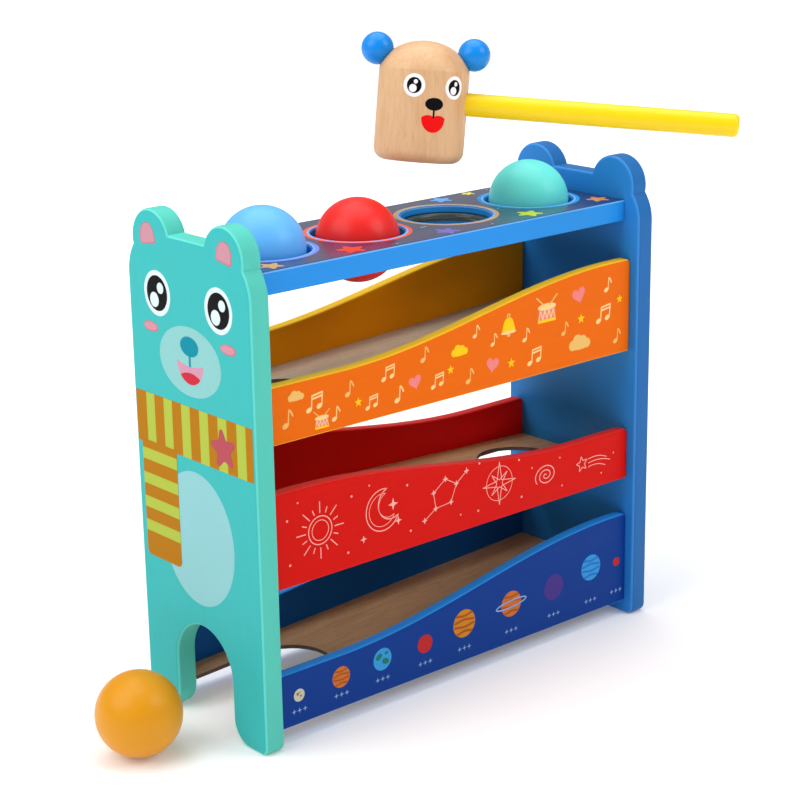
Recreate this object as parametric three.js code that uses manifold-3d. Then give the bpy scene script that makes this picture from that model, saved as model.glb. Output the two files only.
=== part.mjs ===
// Ball pounding bench: two bear-shaped end panels carry a shelf with four ball holes and, below it, three
// sloping ramps between wave-topped side rails. A ball that is knocked through its grip ring drops on the
// upper ramp, rolls down, falls through the hole at the low end to the next ramp and leaves through the arch
// under the teal panel. Millimetres, +Z up. The origin lies on the floor, under the middle of the bench.
// X runs along the bench, towards the blue panel, and the side that faces the player has negative Y.
import * as THREE from 'three';
import { mergeVertices } from 'three/addons/utils/BufferGeometryUtils.js';
import Module from 'manifold-3d';

// Fits
const FIT_GAP = 0.3; // between glued or seated neighbours
const HOLE_CLEARANCE = 5; // shelf hole over the ball, on the diameter
const RAMP_HOLE_CLEARANCE = 6; // ramp hole over the ball, on the diameter
const ARCH_CLEARANCE = 3; // foot arch over the ball, on the width
const ARCH_HEADROOM = 11; // foot arch over the ball, in height

// Balls
const BALL_DIAMETER = 45;

// Pounding shelf and its grip rings
const SHELF_THICKNESS = 12;
const SHELF_GAP = 21; // underside of the shelf over the highest rail
const HOLE_COUNT = 4;
const HOLE_WEB = 13; // between two holes
const SHELF_END_MARGIN = 10.5; // from the last hole to the panel
const SHELF_SIDE_MARGIN = 16; // from a hole to the long edge
const RING_HEIGHT = 4;
const RING_SEAT_DEPTH = 3; // groove in the wall of the hole
const RING_SQUEEZE = 3; // relaxed bore under the ball, on the diameter
const RING_LIP_ROUND = 0.8; // how far the relaxed lip falls back at its upper and lower edge

// End panels
const PANEL_WIDTH = 104;
const PANEL_THICKNESS = 12;
const PANEL_EDGE_ROUND = 2;
const HEAD_RISE = 12.4; // flat between the ears over the shelf
const EAR_RADIUS = 16.3;
const EAR_INSET = 5.1; // ear's outermost point from the side of the panel
const EAR_DROP = 5; // ear centre below the flat between the ears
const SHOULDER_DROP = 24.2; // end of the straight side below the flat between the ears
const SHOULDER_RADIUS = 25;
const FOOT_OUTER_RADIUS = 5;
const FOOT_FLAT = 10; // width of the level sole

// Side rails, from the floor up: the blue, the red and the orange pair
const RAIL_THICKNESS = 7;
const RAIL_SETBACK = 5.5; // rail face behind the edge of the panel
const LOWEST_RAIL = 8.6; // underside of the blue rails
const TIER_PITCH = 76.7;
const RAIL_CORNER_RADIUS = 3;
const WAVE_HIGH_RUN = 12; // level stretch at the high end
const BLUE_RAIL = { low: 30.3, high: 54.8, lowRun: 40 }; // heights, and the level stretch at the low end
const RED_RAIL = { low: 30.2, high: 51.5, lowRun: 40 };
const ORANGE_RAIL = { low: 30.3, high: 53.8, lowRun: 44 };

// Ramps
const RAMP_THICKNESS = 2;
const RAMP_LOW = 7.5; // upper face over the underside of the rail, at the low end
const RAMP_FALL = 12;
const RAMP_SEAT_DEPTH = 2.5; // groove in the rails
const RAMP_HOLE_INSET = 41; // middle of the hole from the panel at the low end

// Dowels
const SHELF_DOWEL_DIAMETER = 6;
const SHELF_DOWEL_LENGTH = 20;
const SHELF_DOWEL_INSET = 12; // from the long edge of the shelf
const RAIL_DOWEL_DIAMETER = 4;
const RAIL_DOWEL_LENGTH = 16;
const DOWEL_COVER = 4; // panel left in front of a dowel

// Hammer
const HAMMER_HEAD_DIAMETER = 48.7;
const HAMMER_HEAD_HEIGHT = 64.4;
const DOME_HEIGHT = 15.6;
const DOME_SINK = 4; // centre of the dome's ellipse below the shoulder line
const HEAD_BASE_ROUND = 6.5;
const HANDLE_DIAMETER = 12.4;
const HANDLE_LENGTH = 163;
const HANDLE_SOCKET_DEPTH = 18;
const HANDLE_END_ROUND = 3;
const BEAD_DIAMETER = 17.5;
const BEAD_ANGLE = 31.2; // degrees up the dome's ellipse
const BEAD_SINK = 2.8; // how far the bead is hollowed to sit on the dome
const BEAD_TURN = 7; // degrees, line of the ears from the line of the handle
const PEG_DIAMETER = 4;
const PEG_LENGTH = 17;
const PEG_HEAD_DEPTH = 9;

// Where the loose pieces are
const BALL_RISE = { blue: 6.4, red: 1.7, green: 5.6 }; // ball centre over the middle of its ring
const BALL_HOLE = { blue: 0, red: 1, green: 3 }; // hole number, from the teal panel
const YELLOW_BALL_RUN = 43.9; // centre of the ball that has rolled out, from the face of the teal panel
const YELLOW_BALL_SIDE = -3.4;
const HAMMER_HOLE = 2; // the hammer is held over this hole
const HAMMER_SHIFT = { x: -7.5, y: 10.1 }; // middle of the hammer's head from the middle of that hole
const HAMMER_LIFT = 61.5; // middle of the hammer's head over the shelf
const HAMMER_YAW = -48.5; // degrees, turn of the handle from +X
const HAMMER_DIP = 4.2; // degrees, fall of the handle towards the grip
const HAMMER_LEAN = -8.2; // degrees, lean of the head away from the player

// Facets
const BALL_SEGMENTS = 24;
const HOLE_SEGMENTS = 32;
const HEAD_SEGMENTS = 32;
const BEAD_SEGMENTS = 20;
const DOWEL_SEGMENTS = 12;
const WAVE_STEPS = 14;
const EAR_STEPS = 14;
const ARCH_STEPS = 9;
const DOME_STEPS = 7;
const CORNER_STEPS = 4;

const COLOURS = {
  teal: 0x4ec8c5, blue: 0x2d7dcd, shelf: 0x3c96eb, rubber: 0x2a3230, beech: 0xd9ab7c, dowel: 0xd8b588,
  ply: 0xb48a62, orange: 0xf07814, red: 0xd71e14, royal: 0x1c4196, yellow: 0xf2c418,
  ball: { blue: 0x46a0f5, red: 0xe6231e, green: 0x4fc1ad, yellow: 0xf2a51c },
};

const wasm = await Module();
wasm.setup();

// Measures that follow from the driving dimensions
const ballRadius = BALL_DIAMETER / 2;
const holeRadius = ballRadius + HOLE_CLEARANCE / 2;
const rampHoleRadius = ballRadius + RAMP_HOLE_CLEARANCE / 2;
const archRadius = ballRadius + ARCH_CLEARANCE / 2;
const archHeight = BALL_DIAMETER + ARCH_HEADROOM;
const holePitch = 2 * holeRadius + HOLE_WEB;
const holeX = Array.from({ length: HOLE_COUNT }, (_, i) => (i - (HOLE_COUNT - 1) / 2) * holePitch);
const shelfWidth = 2 * (holeRadius + SHELF_SIDE_MARGIN);
const innerHalf = holeX[HOLE_COUNT - 1] + holeRadius + SHELF_END_MARGIN;
const boardLength = 2 * (innerHalf - FIT_GAP);
const railOuter = PANEL_WIDTH / 2 - RAIL_SETBACK;
const railMiddle = railOuter - RAIL_THICKNESS / 2;
const railInner = railOuter - RAIL_THICKNESS;
const rampSlope = Math.atan(RAMP_FALL / (2 * innerHalf));
const tiers = [
  { name: 'blue', ...BLUE_RAIL, colour: COLOURS.royal, ramp: 'lower_ramp', lowEnd: -1, notched: true },
  { name: 'red', ...RED_RAIL, colour: COLOURS.red, ramp: 'middle_ramp', lowEnd: 1, notched: false },
  { name: 'orange', ...ORANGE_RAIL, colour: COLOURS.orange, ramp: 'upper_ramp', lowEnd: -1, notched: false },
].map((tier, level) => ({ ...tier, base: LOWEST_RAIL + level * TIER_PITCH }));
const highestTier = tiers[tiers.length - 1];
const shelfBottom = highestTier.base + highestTier.high + SHELF_GAP;
const shelfTop = shelfBottom + SHELF_THICKNESS;
const ringMiddle = shelfBottom + SHELF_THICKNESS / 2;
const headTop = shelfTop + HEAD_RISE;
const dowelPanelDepth = PANEL_THICKNESS - DOWEL_COVER;
const shelfDowelY = shelfWidth / 2 - SHELF_DOWEL_INSET;

const alongX = new THREE.Vector3(1, 0, 0);
const alongY = new THREE.Vector3(0, 1, 0);
const alongZ = new THREE.Vector3(0, 0, 1);
const radians = THREE.MathUtils.degToRad;
const bench = new THREE.Group();

function addMesh(parent, name, geometry, color, roughness) {
  const mesh = new THREE.Mesh(geometry, new THREE.MeshStandardMaterial({ color, roughness, metalness: 0 }));
  mesh.name = name;
  parent.add(mesh);
  return mesh;
}

// One closed skin: shared corners are merged and the collapsed triangles at a turned piece's poles dropped.
function closedSkin(geometry) {
  const bare = geometry.index ? geometry.toNonIndexed() : geometry.clone();
  bare.deleteAttribute('normal');
  bare.deleteAttribute('uv');
  const merged = mergeVertices(bare, 1e-4);
  const corners = merged.index.array;
  const kept = [];
  for (let i = 0; i < corners.length; i += 3) {
    const [a, b, c] = [corners[i], corners[i + 1], corners[i + 2]];
    if (a !== b && b !== c && c !== a) kept.push(a, b, c);
  }
  merged.setIndex(kept);
  return merged;
}

function toSolid(geometry) {
  const skin = closedSkin(geometry);
  return new wasm.Manifold(new wasm.Mesh({
    numProp: 3,
    vertProperties: Float32Array.from(skin.attributes.position.array),
    triVerts: Uint32Array.from(skin.index.array),
  }));
}

function cut(geometry, tools) {
  const rest = tools.reduce((solid, tool) => solid.subtract(toSolid(tool)), toSolid(geometry));
  const mesh = rest.getMesh();
  const result = new THREE.BufferGeometry();
  result.setAttribute('position', new THREE.BufferAttribute(Float32Array.from(mesh.vertProperties), 3));
  result.setIndex(Array.from(mesh.triVerts));
  return result;
}

// Points of an arc, angles in radians.
function arc(x, y, radius, from, to, steps) {
  return Array.from({ length: steps + 1 }, (_, i) => {
    const angle = from + ((to - from) * i) / steps;
    return new THREE.Vector2(x + radius * Math.cos(angle), y + radius * Math.sin(angle));
  });
}

// A turned piece about Z from a closed [radius, height] profile, which runs upwards on its outside.
function turned(profile, segments) {
  const points = profile.map(([radius, height]) => new THREE.Vector2(radius, height));
  return closedSkin(new THREE.LatheGeometry(points, segments).rotateX(Math.PI / 2));
}

// A round bar along X, between two places in either order.
function bar(radius, oneEnd, otherEnd, segments) {
  return new THREE.CylinderGeometry(radius, radius, Math.abs(otherEnd - oneEnd), segments)
    .rotateZ(Math.PI / 2)
    .translate((oneEnd + otherEnd) / 2, 0, 0);
}

// Heights over the underside of a rail of the two dowels at its end on this side, between ramp and rail top.
function dowelHeights(tier, side) {
  const atLowEnd = side === tier.lowEnd;
  const rampTop = RAMP_LOW + (atLowEnd ? 0 : RAMP_FALL);
  const span = (atLowEnd ? tier.low : tier.high) - rampTop;
  return [rampTop + span / 4, rampTop + (3 * span) / 4];
}

// End panels: half an outline from the head down to the crown of the arch, or to a level sole, mirrored.
function panelOutline(arched) {
  const half = PANEL_WIDTH / 2;
  const ear = new THREE.Vector2(half - EAR_INSET - EAR_RADIUS, headTop - EAR_DROP);
  const shoulder = new THREE.Vector2(half - SHOULDER_RADIUS, headTop - SHOULDER_DROP);
  // The ear's circle meets the shoulder's circle at the outer one of their two crossings.
  const between = ear.clone().sub(shoulder);
  const apart = between.length();
  const along = (SHOULDER_RADIUS ** 2 - EAR_RADIUS ** 2 + apart ** 2) / (2 * apart);
  const across = Math.sqrt(SHOULDER_RADIUS ** 2 - along ** 2);
  const unit = between.normalize();
  const corner = new THREE.Vector2(
    shoulder.x + along * unit.x + across * unit.y,
    shoulder.y + along * unit.y - across * unit.x,
  );
  const angleTo = (centre) => Math.atan2(corner.y - centre.y, corner.x - centre.x);
  const earStart = Math.PI - Math.asin(EAR_DROP / EAR_RADIUS);
  const outer = FOOT_OUTER_RADIUS;
  const inner = half - outer - FOOT_FLAT - archRadius;
  const arch = [
    ...arc(archRadius + inner, inner, inner, -Math.PI / 2, -Math.PI, CORNER_STEPS + 2),
    ...arc(0, archHeight - archRadius, archRadius, 0, Math.PI / 2, ARCH_STEPS),
  ];
  const right = [
    ...arc(ear.x, ear.y, EAR_RADIUS, earStart, angleTo(ear), EAR_STEPS),
    ...arc(shoulder.x, shoulder.y, SHOULDER_RADIUS, angleTo(shoulder), 0, CORNER_STEPS).slice(1),
    ...arc(half - outer, outer, outer, 0, -Math.PI / 2, CORNER_STEPS),
    ...(arched ? arch : []),
  ];
  const left = right.filter((p) => p.x > 1e-6).reverse().map((p) => new THREE.Vector2(-p.x, p.y));
  return new THREE.Shape([...right, ...left]);
}

// The blind dowel holes in a panel's inner face.
function panelDowelHoles(side) {
  const deepest = side * (innerHalf + dowelPanelDepth + FIT_GAP);
  const mouth = side * (innerHalf - FIT_GAP);
  const hole = (diameter, y, z) => (
    bar(diameter / 2 + FIT_GAP, mouth, deepest, DOWEL_SEGMENTS).translate(0, y, z)
  );
  const shelfHoles = [-1, 1].map((way) => hole(SHELF_DOWEL_DIAMETER, way * shelfDowelY, ringMiddle));
  const railHoles = tiers.flatMap((tier) => dowelHeights(tier, side).flatMap((height) => [-1, 1].map(
    (way) => hole(RAIL_DOWEL_DIAMETER, way * railMiddle, tier.base + height),
  )));
  return [...shelfHoles, ...railHoles];
}

function buildPanel(name, side, arched, color) {
  const blank = new THREE.ExtrudeGeometry(panelOutline(arched), {
    depth: PANEL_THICKNESS - 2 * PANEL_EDGE_ROUND,
    bevelThickness: PANEL_EDGE_ROUND,
    bevelSize: PANEL_EDGE_ROUND,
    bevelOffset: -PANEL_EDGE_ROUND,
    bevelSegments: 2,
  });
  blank.translate(0, 0, PANEL_EDGE_ROUND - PANEL_THICKNESS / 2);
  blank.applyMatrix4(new THREE.Matrix4().makeBasis(alongY, alongZ, alongX));
  blank.translate(side * (innerHalf + PANEL_THICKNESS / 2), 0, 0);
  addMesh(bench, name, cut(blank, panelDowelHoles(side)), color, 0.45);
}

// A dowel hole in the end of a board between the panels.
function boardDowelHole(diameter, length, side, y, z) {
  const deepest = side * (innerHalf + dowelPanelDepth - length - FIT_GAP);
  return bar(diameter / 2 + FIT_GAP, side * innerHalf, deepest, DOWEL_SEGMENTS).translate(0, y, z);
}

// Pounding shelf: a board with four grooved holes.
function buildShelf() {
  const [x, y] = [boardLength / 2, shelfWidth / 2];
  const corners = [[-x, -y], [x, -y], [x, y], [-x, y]];
  const board = new THREE.Shape(corners.map((corner) => new THREE.Vector2(...corner)));
  board.holes = holeX.map(
    (middle) => new THREE.Path(arc(middle, 0, holeRadius, 0, -2 * Math.PI, HOLE_SEGMENTS).slice(1)),
  );
  const blank = new THREE.ExtrudeGeometry(board, { depth: SHELF_THICKNESS, bevelEnabled: false });
  blank.translate(0, 0, shelfBottom);
  const seatRadius = holeRadius + RING_SEAT_DEPTH;
  const seats = holeX.map((middle) => (
    new THREE.CylinderGeometry(seatRadius, seatRadius, RING_HEIGHT + 2 * FIT_GAP, HOLE_SEGMENTS)
      .rotateX(Math.PI / 2)
      .translate(middle, 0, ringMiddle)
  ));
  const dowelHoles = [-1, 1].flatMap((side) => [-1, 1].map(
    (way) => boardDowelHole(SHELF_DOWEL_DIAMETER, SHELF_DOWEL_LENGTH, side, way * shelfDowelY, ringMiddle),
  ));
  addMesh(bench, 'pounding_shelf', cut(blank, [...seats, ...dowelHoles]), COLOURS.shelf, 0.3);
}

// Grip rings: the lip of a loaded ring lies against its ball, and the empty ring's lip is relaxed and round.
function buildRings() {
  const outer = holeRadius + RING_SEAT_DEPTH - FIT_GAP;
  const relaxed = ballRadius - RING_SQUEEZE / 2;
  const riseOf = Object.fromEntries(Object.entries(BALL_HOLE).map(([name, hole]) => [hole, BALL_RISE[name]]));
  holeX.forEach((x, hole) => {
    const lipRadius = (height) => (hole in riseOf
      ? Math.sqrt((ballRadius + FIT_GAP) ** 2 - (height - riseOf[hole]) ** 2)
      : relaxed + RING_LIP_ROUND * ((2 * height) / RING_HEIGHT) ** 2);
    const lip = [0.5, 0.25, 0, -0.25, -0.5].map((part) => [lipRadius(part * RING_HEIGHT), part * RING_HEIGHT]);
    const profile = [lip[lip.length - 1], [outer, -RING_HEIGHT / 2], [outer, RING_HEIGHT / 2], ...lip];
    const ring = addMesh(bench, `grip_ring_${hole + 1}`, turned(profile, HOLE_SEGMENTS), COLOURS.rubber, 0.55);
    ring.position.set(x, 0, ringMiddle);
  });
}

// Side rail: level at both ends, with half a cosine wave between, low at the low end of its ramp.
function railOutline(tier) {
  const half = boardLength / 2;
  const radius = RAIL_CORNER_RADIUS;
  const [from, to] = [-half + tier.lowRun, half - WAVE_HIGH_RUN];
  const wave = Array.from({ length: WAVE_STEPS + 1 }, (_, i) => {
    const part = 1 - i / WAVE_STEPS;
    const rise = (1 - Math.cos(Math.PI * part)) / 2;
    return new THREE.Vector2(from + (to - from) * part, tier.low + (tier.high - tier.low) * rise);
  });
  const points = [
    new THREE.Vector2(-half, 0),
    new THREE.Vector2(half, 0),
    ...arc(half - radius, tier.high - radius, radius, 0, Math.PI / 2, CORNER_STEPS),
    ...wave,
    ...arc(-half + radius, tier.low - radius, radius, Math.PI / 2, Math.PI, CORNER_STEPS),
  ];
  return new THREE.Shape(points.map((p) => new THREE.Vector2(-tier.lowEnd * p.x, p.y)));
}

// Moves what lies under the level z = 0 plane to the upper face of a ramp, which turns about Y at mid-length.
function placeOnRamp(geometry, tier) {
  return geometry.rotateY(tier.lowEnd * rampSlope).translate(0, 0, tier.base + RAMP_LOW + RAMP_FALL / 2);
}

function buildRails(tier) {
  for (const [place, way] of [['front', -1], ['back', 1]]) {
    const blank = new THREE.ExtrudeGeometry(railOutline(tier), { depth: RAIL_THICKNESS, bevelEnabled: false });
    blank.translate(0, 0, -RAIL_THICKNESS / 2);
    blank.applyMatrix4(new THREE.Matrix4().makeBasis(alongX, alongZ, alongY.clone().negate()));
    blank.translate(0, way * railMiddle, tier.base);
    const seatWidth = 2 * (railInner + RAMP_SEAT_DEPTH);
    const seat = new THREE.BoxGeometry(2 * boardLength, seatWidth, RAMP_THICKNESS + 2 * FIT_GAP);
    seat.translate(0, 0, -RAMP_THICKNESS / 2);
    const dowelHoles = [-1, 1].flatMap((side) => dowelHeights(tier, side).map((height) => (
      boardDowelHole(RAIL_DOWEL_DIAMETER, RAIL_DOWEL_LENGTH, side, way * railMiddle, tier.base + height)
    )));
    const rail = cut(blank, [placeOnRamp(seat, tier), ...dowelHoles]);
    addMesh(bench, `${tier.name}_rail_${place}`, rail, tier.colour, 0.4);
  }
}

// Ramp: a thin board with a ball hole at its low end, which on the lowest ramp is a notch open to that end.
function buildRamp(tier) {
  const half = boardLength / 2;
  const side = railInner + RAMP_SEAT_DEPTH - FIT_GAP;
  const radius = rampHoleRadius;
  const holeMiddle = -(innerHalf - RAMP_HOLE_INSET);
  const mirrored = (points) => points.map((p) => new THREE.Vector2(-tier.lowEnd * p.x, p.y));
  const corners = [[-half, -side], [half, -side], [half, side], [-half, side]];
  const edge = corners.map((corner) => new THREE.Vector2(...corner));
  const notch = [
    new THREE.Vector2(-half, radius),
    ...arc(holeMiddle, 0, radius, Math.PI / 2, -Math.PI / 2, HOLE_SEGMENTS / 2),
    new THREE.Vector2(-half, -radius),
  ];
  const board = new THREE.Shape(mirrored(tier.notched ? [...edge, ...notch] : edge));
  if (!tier.notched) {
    const hole = arc(holeMiddle, 0, radius, 0, -2 * Math.PI, HOLE_SEGMENTS).slice(1);
    board.holes.push(new THREE.Path(mirrored(hole)));
  }
  const plate = new THREE.ExtrudeGeometry(board, { depth: RAMP_THICKNESS, bevelEnabled: false });
  plate.translate(0, 0, -RAMP_THICKNESS);
  addMesh(bench, tier.ramp, closedSkin(placeOnRamp(plate, tier)), COLOURS.ply, 0.7);
}

// Dowels: two at each end of the shelf and of every rail, each partly in the panel.
function buildDowels() {
  const dowel = (name, diameter, length, side, y, z) => {
    const tip = innerHalf + dowelPanelDepth;
    const peg = closedSkin(bar(diameter / 2, side * tip, side * (tip - length), DOWEL_SEGMENTS));
    addMesh(bench, name, peg, COLOURS.dowel, 0.7).position.set(0, y, z);
  };
  [-1, 1].forEach((side, end) => [-1, 1].forEach((way, row) => {
    const name = `shelf_dowel_${2 * end + row + 1}`;
    dowel(name, SHELF_DOWEL_DIAMETER, SHELF_DOWEL_LENGTH, side, way * shelfDowelY, ringMiddle);
  }));
  for (const tier of tiers) {
    for (const [place, way] of [['front', -1], ['back', 1]]) {
      [-1, 1].forEach((side, end) => dowelHeights(tier, side).forEach((height, row) => {
        const name = `${tier.name}_rail_${place}_dowel_${2 * end + row + 1}`;
        dowel(name, RAIL_DOWEL_DIAMETER, RAIL_DOWEL_LENGTH, side, way * railMiddle, tier.base + height);
      }));
    }
  }
}

// Balls: three in their rings, and the yellow one on the floor, where it rolled out of the arch.
function buildBalls() {
  const ball = (name, x, y, z) => {
    const sphere = new THREE.SphereGeometry(ballRadius, BALL_SEGMENTS, BALL_SEGMENTS / 2).rotateX(Math.PI / 2);
    addMesh(bench, `ball_${name}`, closedSkin(sphere), COLOURS.ball[name], 0.35).position.set(x, y, z);
  };
  for (const [name, hole] of Object.entries(BALL_HOLE)) {
    ball(name, holeX[hole], 0, ringMiddle + BALL_RISE[name]);
  }
  ball('yellow', -(innerHalf + PANEL_THICKNESS + YELLOW_BALL_RUN), YELLOW_BALL_SIDE, ballRadius);
}

// The dome's ellipse in the hammer's own frame, whose origin is the middle of the head.
function domeEllipse() {
  const shoulder = HAMMER_HEAD_HEIGHT / 2 - DOME_HEIGHT;
  const centre = shoulder - DOME_SINK;
  const up = DOME_HEIGHT + DOME_SINK;
  const start = Math.asin(DOME_SINK / up);
  return { centre, up, start, out: HAMMER_HEAD_DIAMETER / 2 / Math.cos(start) };
}

// Profile of the hammer's head, grown by a gap: a round-edged base, a straight wall and the dome.
function headProfile(gap) {
  const half = HAMMER_HEAD_HEIGHT / 2;
  const { centre, up, start, out } = domeEllipse();
  const dome = Array.from({ length: DOME_STEPS }, (_, i) => {
    const angle = start + ((Math.PI / 2 - start) * i) / DOME_STEPS;
    return [(out + gap) * Math.cos(angle), centre + (up + gap) * Math.sin(angle)];
  });
  const round = HEAD_BASE_ROUND;
  const base = arc(HAMMER_HEAD_DIAMETER / 2 - round, round - half, round + gap, -Math.PI / 2, 0, CORNER_STEPS);
  return [[0, -half - gap], ...base.map((p) => [p.x, p.y]), ...dome, [0, half + gap]];
}

// Hammer: the handle runs along X from the head, and the bead ears sit square on the dome.
function buildHammer() {
  const hammer = new THREE.Group();
  hammer.position.set(holeX[HAMMER_HOLE] + HAMMER_SHIFT.x, HAMMER_SHIFT.y, shelfTop + HAMMER_LIFT);
  hammer.rotation.set(radians(HAMMER_LEAN), radians(HAMMER_DIP), radians(HAMMER_YAW), 'ZYX');
  bench.add(hammer);

  // The seat of an ear is a point of the dome, and its peg stands square on the dome there.
  const { centre, up, out } = domeEllipse();
  const angle = radians(BEAD_ANGLE);
  const seat = new THREE.Vector3(out * Math.cos(angle), 0, centre + up * Math.sin(angle));
  const pegTurn = Math.atan2(Math.sin(angle) / up, Math.cos(angle) / out);
  const onSeat = (geometry) => geometry.rotateY(-pegTurn).translate(seat.x, seat.y, seat.z);
  const beadRadius = BEAD_DIAMETER / 2;
  const pegOut = PEG_LENGTH - PEG_HEAD_DEPTH;
  const pegBar = (gap) => (
    onSeat(bar(PEG_DIAMETER / 2 + gap, -PEG_HEAD_DEPTH - gap, pegOut + gap, DOWEL_SEGMENTS))
  );
  const pegHole = pegBar(FIT_GAP);
  const peg = pegBar(0);
  const bead = new THREE.SphereGeometry(beadRadius, BEAD_SEGMENTS, BEAD_SEGMENTS / 2);
  bead.translate(beadRadius - BEAD_SINK, 0, 0);
  const ear = cut(onSeat(bead), [turned(headProfile(FIT_GAP), HEAD_SEGMENTS), pegHole]);
  const sides = { right: radians(BEAD_TURN), left: radians(BEAD_TURN) + Math.PI };
  for (const [place, turn] of Object.entries(sides)) {
    addMesh(hammer, `hammer_ear_${place}`, ear.clone().rotateZ(turn), COLOURS.blue, 0.3);
    addMesh(hammer, `hammer_ear_peg_${place}`, closedSkin(peg.clone().rotateZ(turn)), COLOURS.dowel, 0.7);
  }

  const handleStart = HAMMER_HEAD_DIAMETER / 2 - HANDLE_SOCKET_DEPTH;
  const handleEnd = handleStart + HANDLE_LENGTH;
  const [handleRadius, round] = [HANDLE_DIAMETER / 2, HANDLE_END_ROUND];
  const tip = arc(handleRadius - round, handleEnd - round, round, 0, Math.PI / 2, CORNER_STEPS);
  const foot = [[0, handleStart], [handleRadius, handleStart]];
  const profile = [...foot, ...tip.map((p) => [p.x, p.y]), [0, handleEnd]];
  addMesh(hammer, 'hammer_handle', turned(profile, BEAD_SEGMENTS).rotateY(Math.PI / 2), COLOURS.yellow, 0.35);

  const socket = bar(handleRadius + FIT_GAP, handleStart - FIT_GAP, HAMMER_HEAD_DIAMETER, BEAD_SEGMENTS);
  const pegHoles = Object.values(sides).map((turn) => pegHole.clone().rotateZ(turn));
  const head = cut(turned(headProfile(0), HEAD_SEGMENTS), [socket, ...pegHoles]);
  addMesh(hammer, 'hammer_head', head, COLOURS.beech, 0.5);
}

buildPanel('end_panel_teal', -1, true, COLOURS.teal);
buildPanel('end_panel_blue', 1, false, COLOURS.blue);
buildShelf();
buildRings();
for (const tier of tiers) {
  buildRails(tier);
  buildRamp(tier);
}
buildDowels();
buildBalls();
buildHammer();

export default bench;
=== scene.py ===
"""Finished surfaces of a wooden ball pounding bench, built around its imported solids.

Shapes are worked out in millimetres, in the frame of the solids: X along the bench towards the blue
panel, -Y towards the player, Z up from the floor. put_piece turns them into metres.
"""
import math

import bmesh
import bpy
import numpy as np
from bpy.props import FloatProperty, FloatVectorProperty, PointerProperty
from mathutils import Matrix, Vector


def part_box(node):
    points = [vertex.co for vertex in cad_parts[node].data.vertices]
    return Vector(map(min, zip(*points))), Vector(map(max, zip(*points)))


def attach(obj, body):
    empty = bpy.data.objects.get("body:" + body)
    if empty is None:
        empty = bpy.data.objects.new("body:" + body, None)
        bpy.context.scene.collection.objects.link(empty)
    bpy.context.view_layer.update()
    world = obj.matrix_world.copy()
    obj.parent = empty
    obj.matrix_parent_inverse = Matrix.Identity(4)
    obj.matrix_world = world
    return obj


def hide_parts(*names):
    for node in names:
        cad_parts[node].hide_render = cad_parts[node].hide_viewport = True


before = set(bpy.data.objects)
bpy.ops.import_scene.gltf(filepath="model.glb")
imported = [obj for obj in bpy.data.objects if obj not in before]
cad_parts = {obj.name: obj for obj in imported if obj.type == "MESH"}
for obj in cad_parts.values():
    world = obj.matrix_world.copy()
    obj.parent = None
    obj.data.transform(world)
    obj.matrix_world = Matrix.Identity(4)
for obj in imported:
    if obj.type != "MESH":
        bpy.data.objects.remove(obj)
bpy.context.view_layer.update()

bl_info = {
    "name": "Ball pounding bench",
    "version": (1, 0, 0),
    "blender": (4, 5, 0),
    "location": "3D View > Sidebar > Bench",
    "description": "Painted boards, plywood ramps, balls, hammer and prints of a ball pounding bench",
    "category": "Object",
}

MM = 0.001
TAU = 2 * math.pi


def node_box(name):
    """Lowest and highest corner of a solid, in millimetres."""
    return [np.array(corner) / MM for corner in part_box(name)]


# Places and sizes read from the solids
TEAL_LOW, TEAL_HIGH = node_box("end_panel_teal")
BLUE_LOW = node_box("end_panel_blue")[0]
SHELF_LOW, SHELF_HIGH = node_box("pounding_shelf")
RING_BOXES = [node_box(f"grip_ring_{number}") for number in (1, 2, 3, 4)]
BALL_CENTRES = {
    colour: sum(node_box(f"ball_{colour}")) / 2 for colour in ("blue", "red", "green", "yellow")
}
BALL_RADIUS = BALL_CENTRES["yellow"][2]
PANEL_HALF_WIDTH = TEAL_HIGH[1]
PANEL_FACE = TEAL_LOW[0]
SHELF_TOP = SHELF_HIGH[2]
SHELF_BOTTOM = SHELF_LOW[2]
HOLE_X = [(low[0] + high[0]) / 2 for low, high in RING_BOXES]
RING_MIDDLE = (RING_BOXES[0][0][2] + RING_BOXES[0][1][2]) / 2

# Fixed shapes of the boards, rings and ramps
HEAD_TOP = SHELF_TOP + 12.4
EAR_RADIUS = 16.3
EAR_INSET = 5.1
EAR_DROP = 5.0
SHOULDER_DROP = 24.2
SHOULDER_RADIUS = 25.0
FOOT_RADIUS = 5.0
FOOT_FLAT = 10.0
ARCH_RADIUS = 24.0
ARCH_HEIGHT = 56.0
HOLE_RADIUS = 25.0
HOLE_ROUND = 0.7
CELL_STEPS = 24
RING_SEAT = 3.0
RING_HALF_HEIGHT = 2.0
FIT_GAP = 0.3
RAIL_CORNER = 3.0
WAVE_HIGH_RUN = 12.0
RAIL_LOW_END = {"blue": -1, "red": 1, "orange": -1}
RAIL_LOW_HEIGHT = {"blue": 30.3, "red": 30.2, "orange": 30.3}
RAIL_LOW_RUN = {"blue": 40.0, "red": 40.0, "orange": 44.0}
RAMP_HOLE_RADIUS = 25.5
RAMP_HOLE_X = 89.0

# Hammer: where it is held, its angles in degrees, and its shape about the middle of its head, with the
# handle along X
HAMMER_PLACE = np.array([24.0, 10.1, SHELF_TOP + 61.5])
HAMMER_YAW = -48.5
HAMMER_DIP = 4.2
HAMMER_LEAN = -8.2
HEAD_RADIUS = 24.35
HEAD_HALF_HEIGHT = 32.2
DOME_HEIGHT = 15.6
DOME_SINK = 4.0
BASE_ROUND = 6.5
HANDLE_RADIUS = 6.2
HANDLE_FROM = 17.0
HANDLE_TO = 169.35
HANDLE_ROUND = 3.0
BEAD_RADIUS = 8.75
BEAD_ANGLE = 31.2
BEAD_SINK = 2.8
BEAD_TURN = 7.0
FACE_TURN = -68.2

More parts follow.
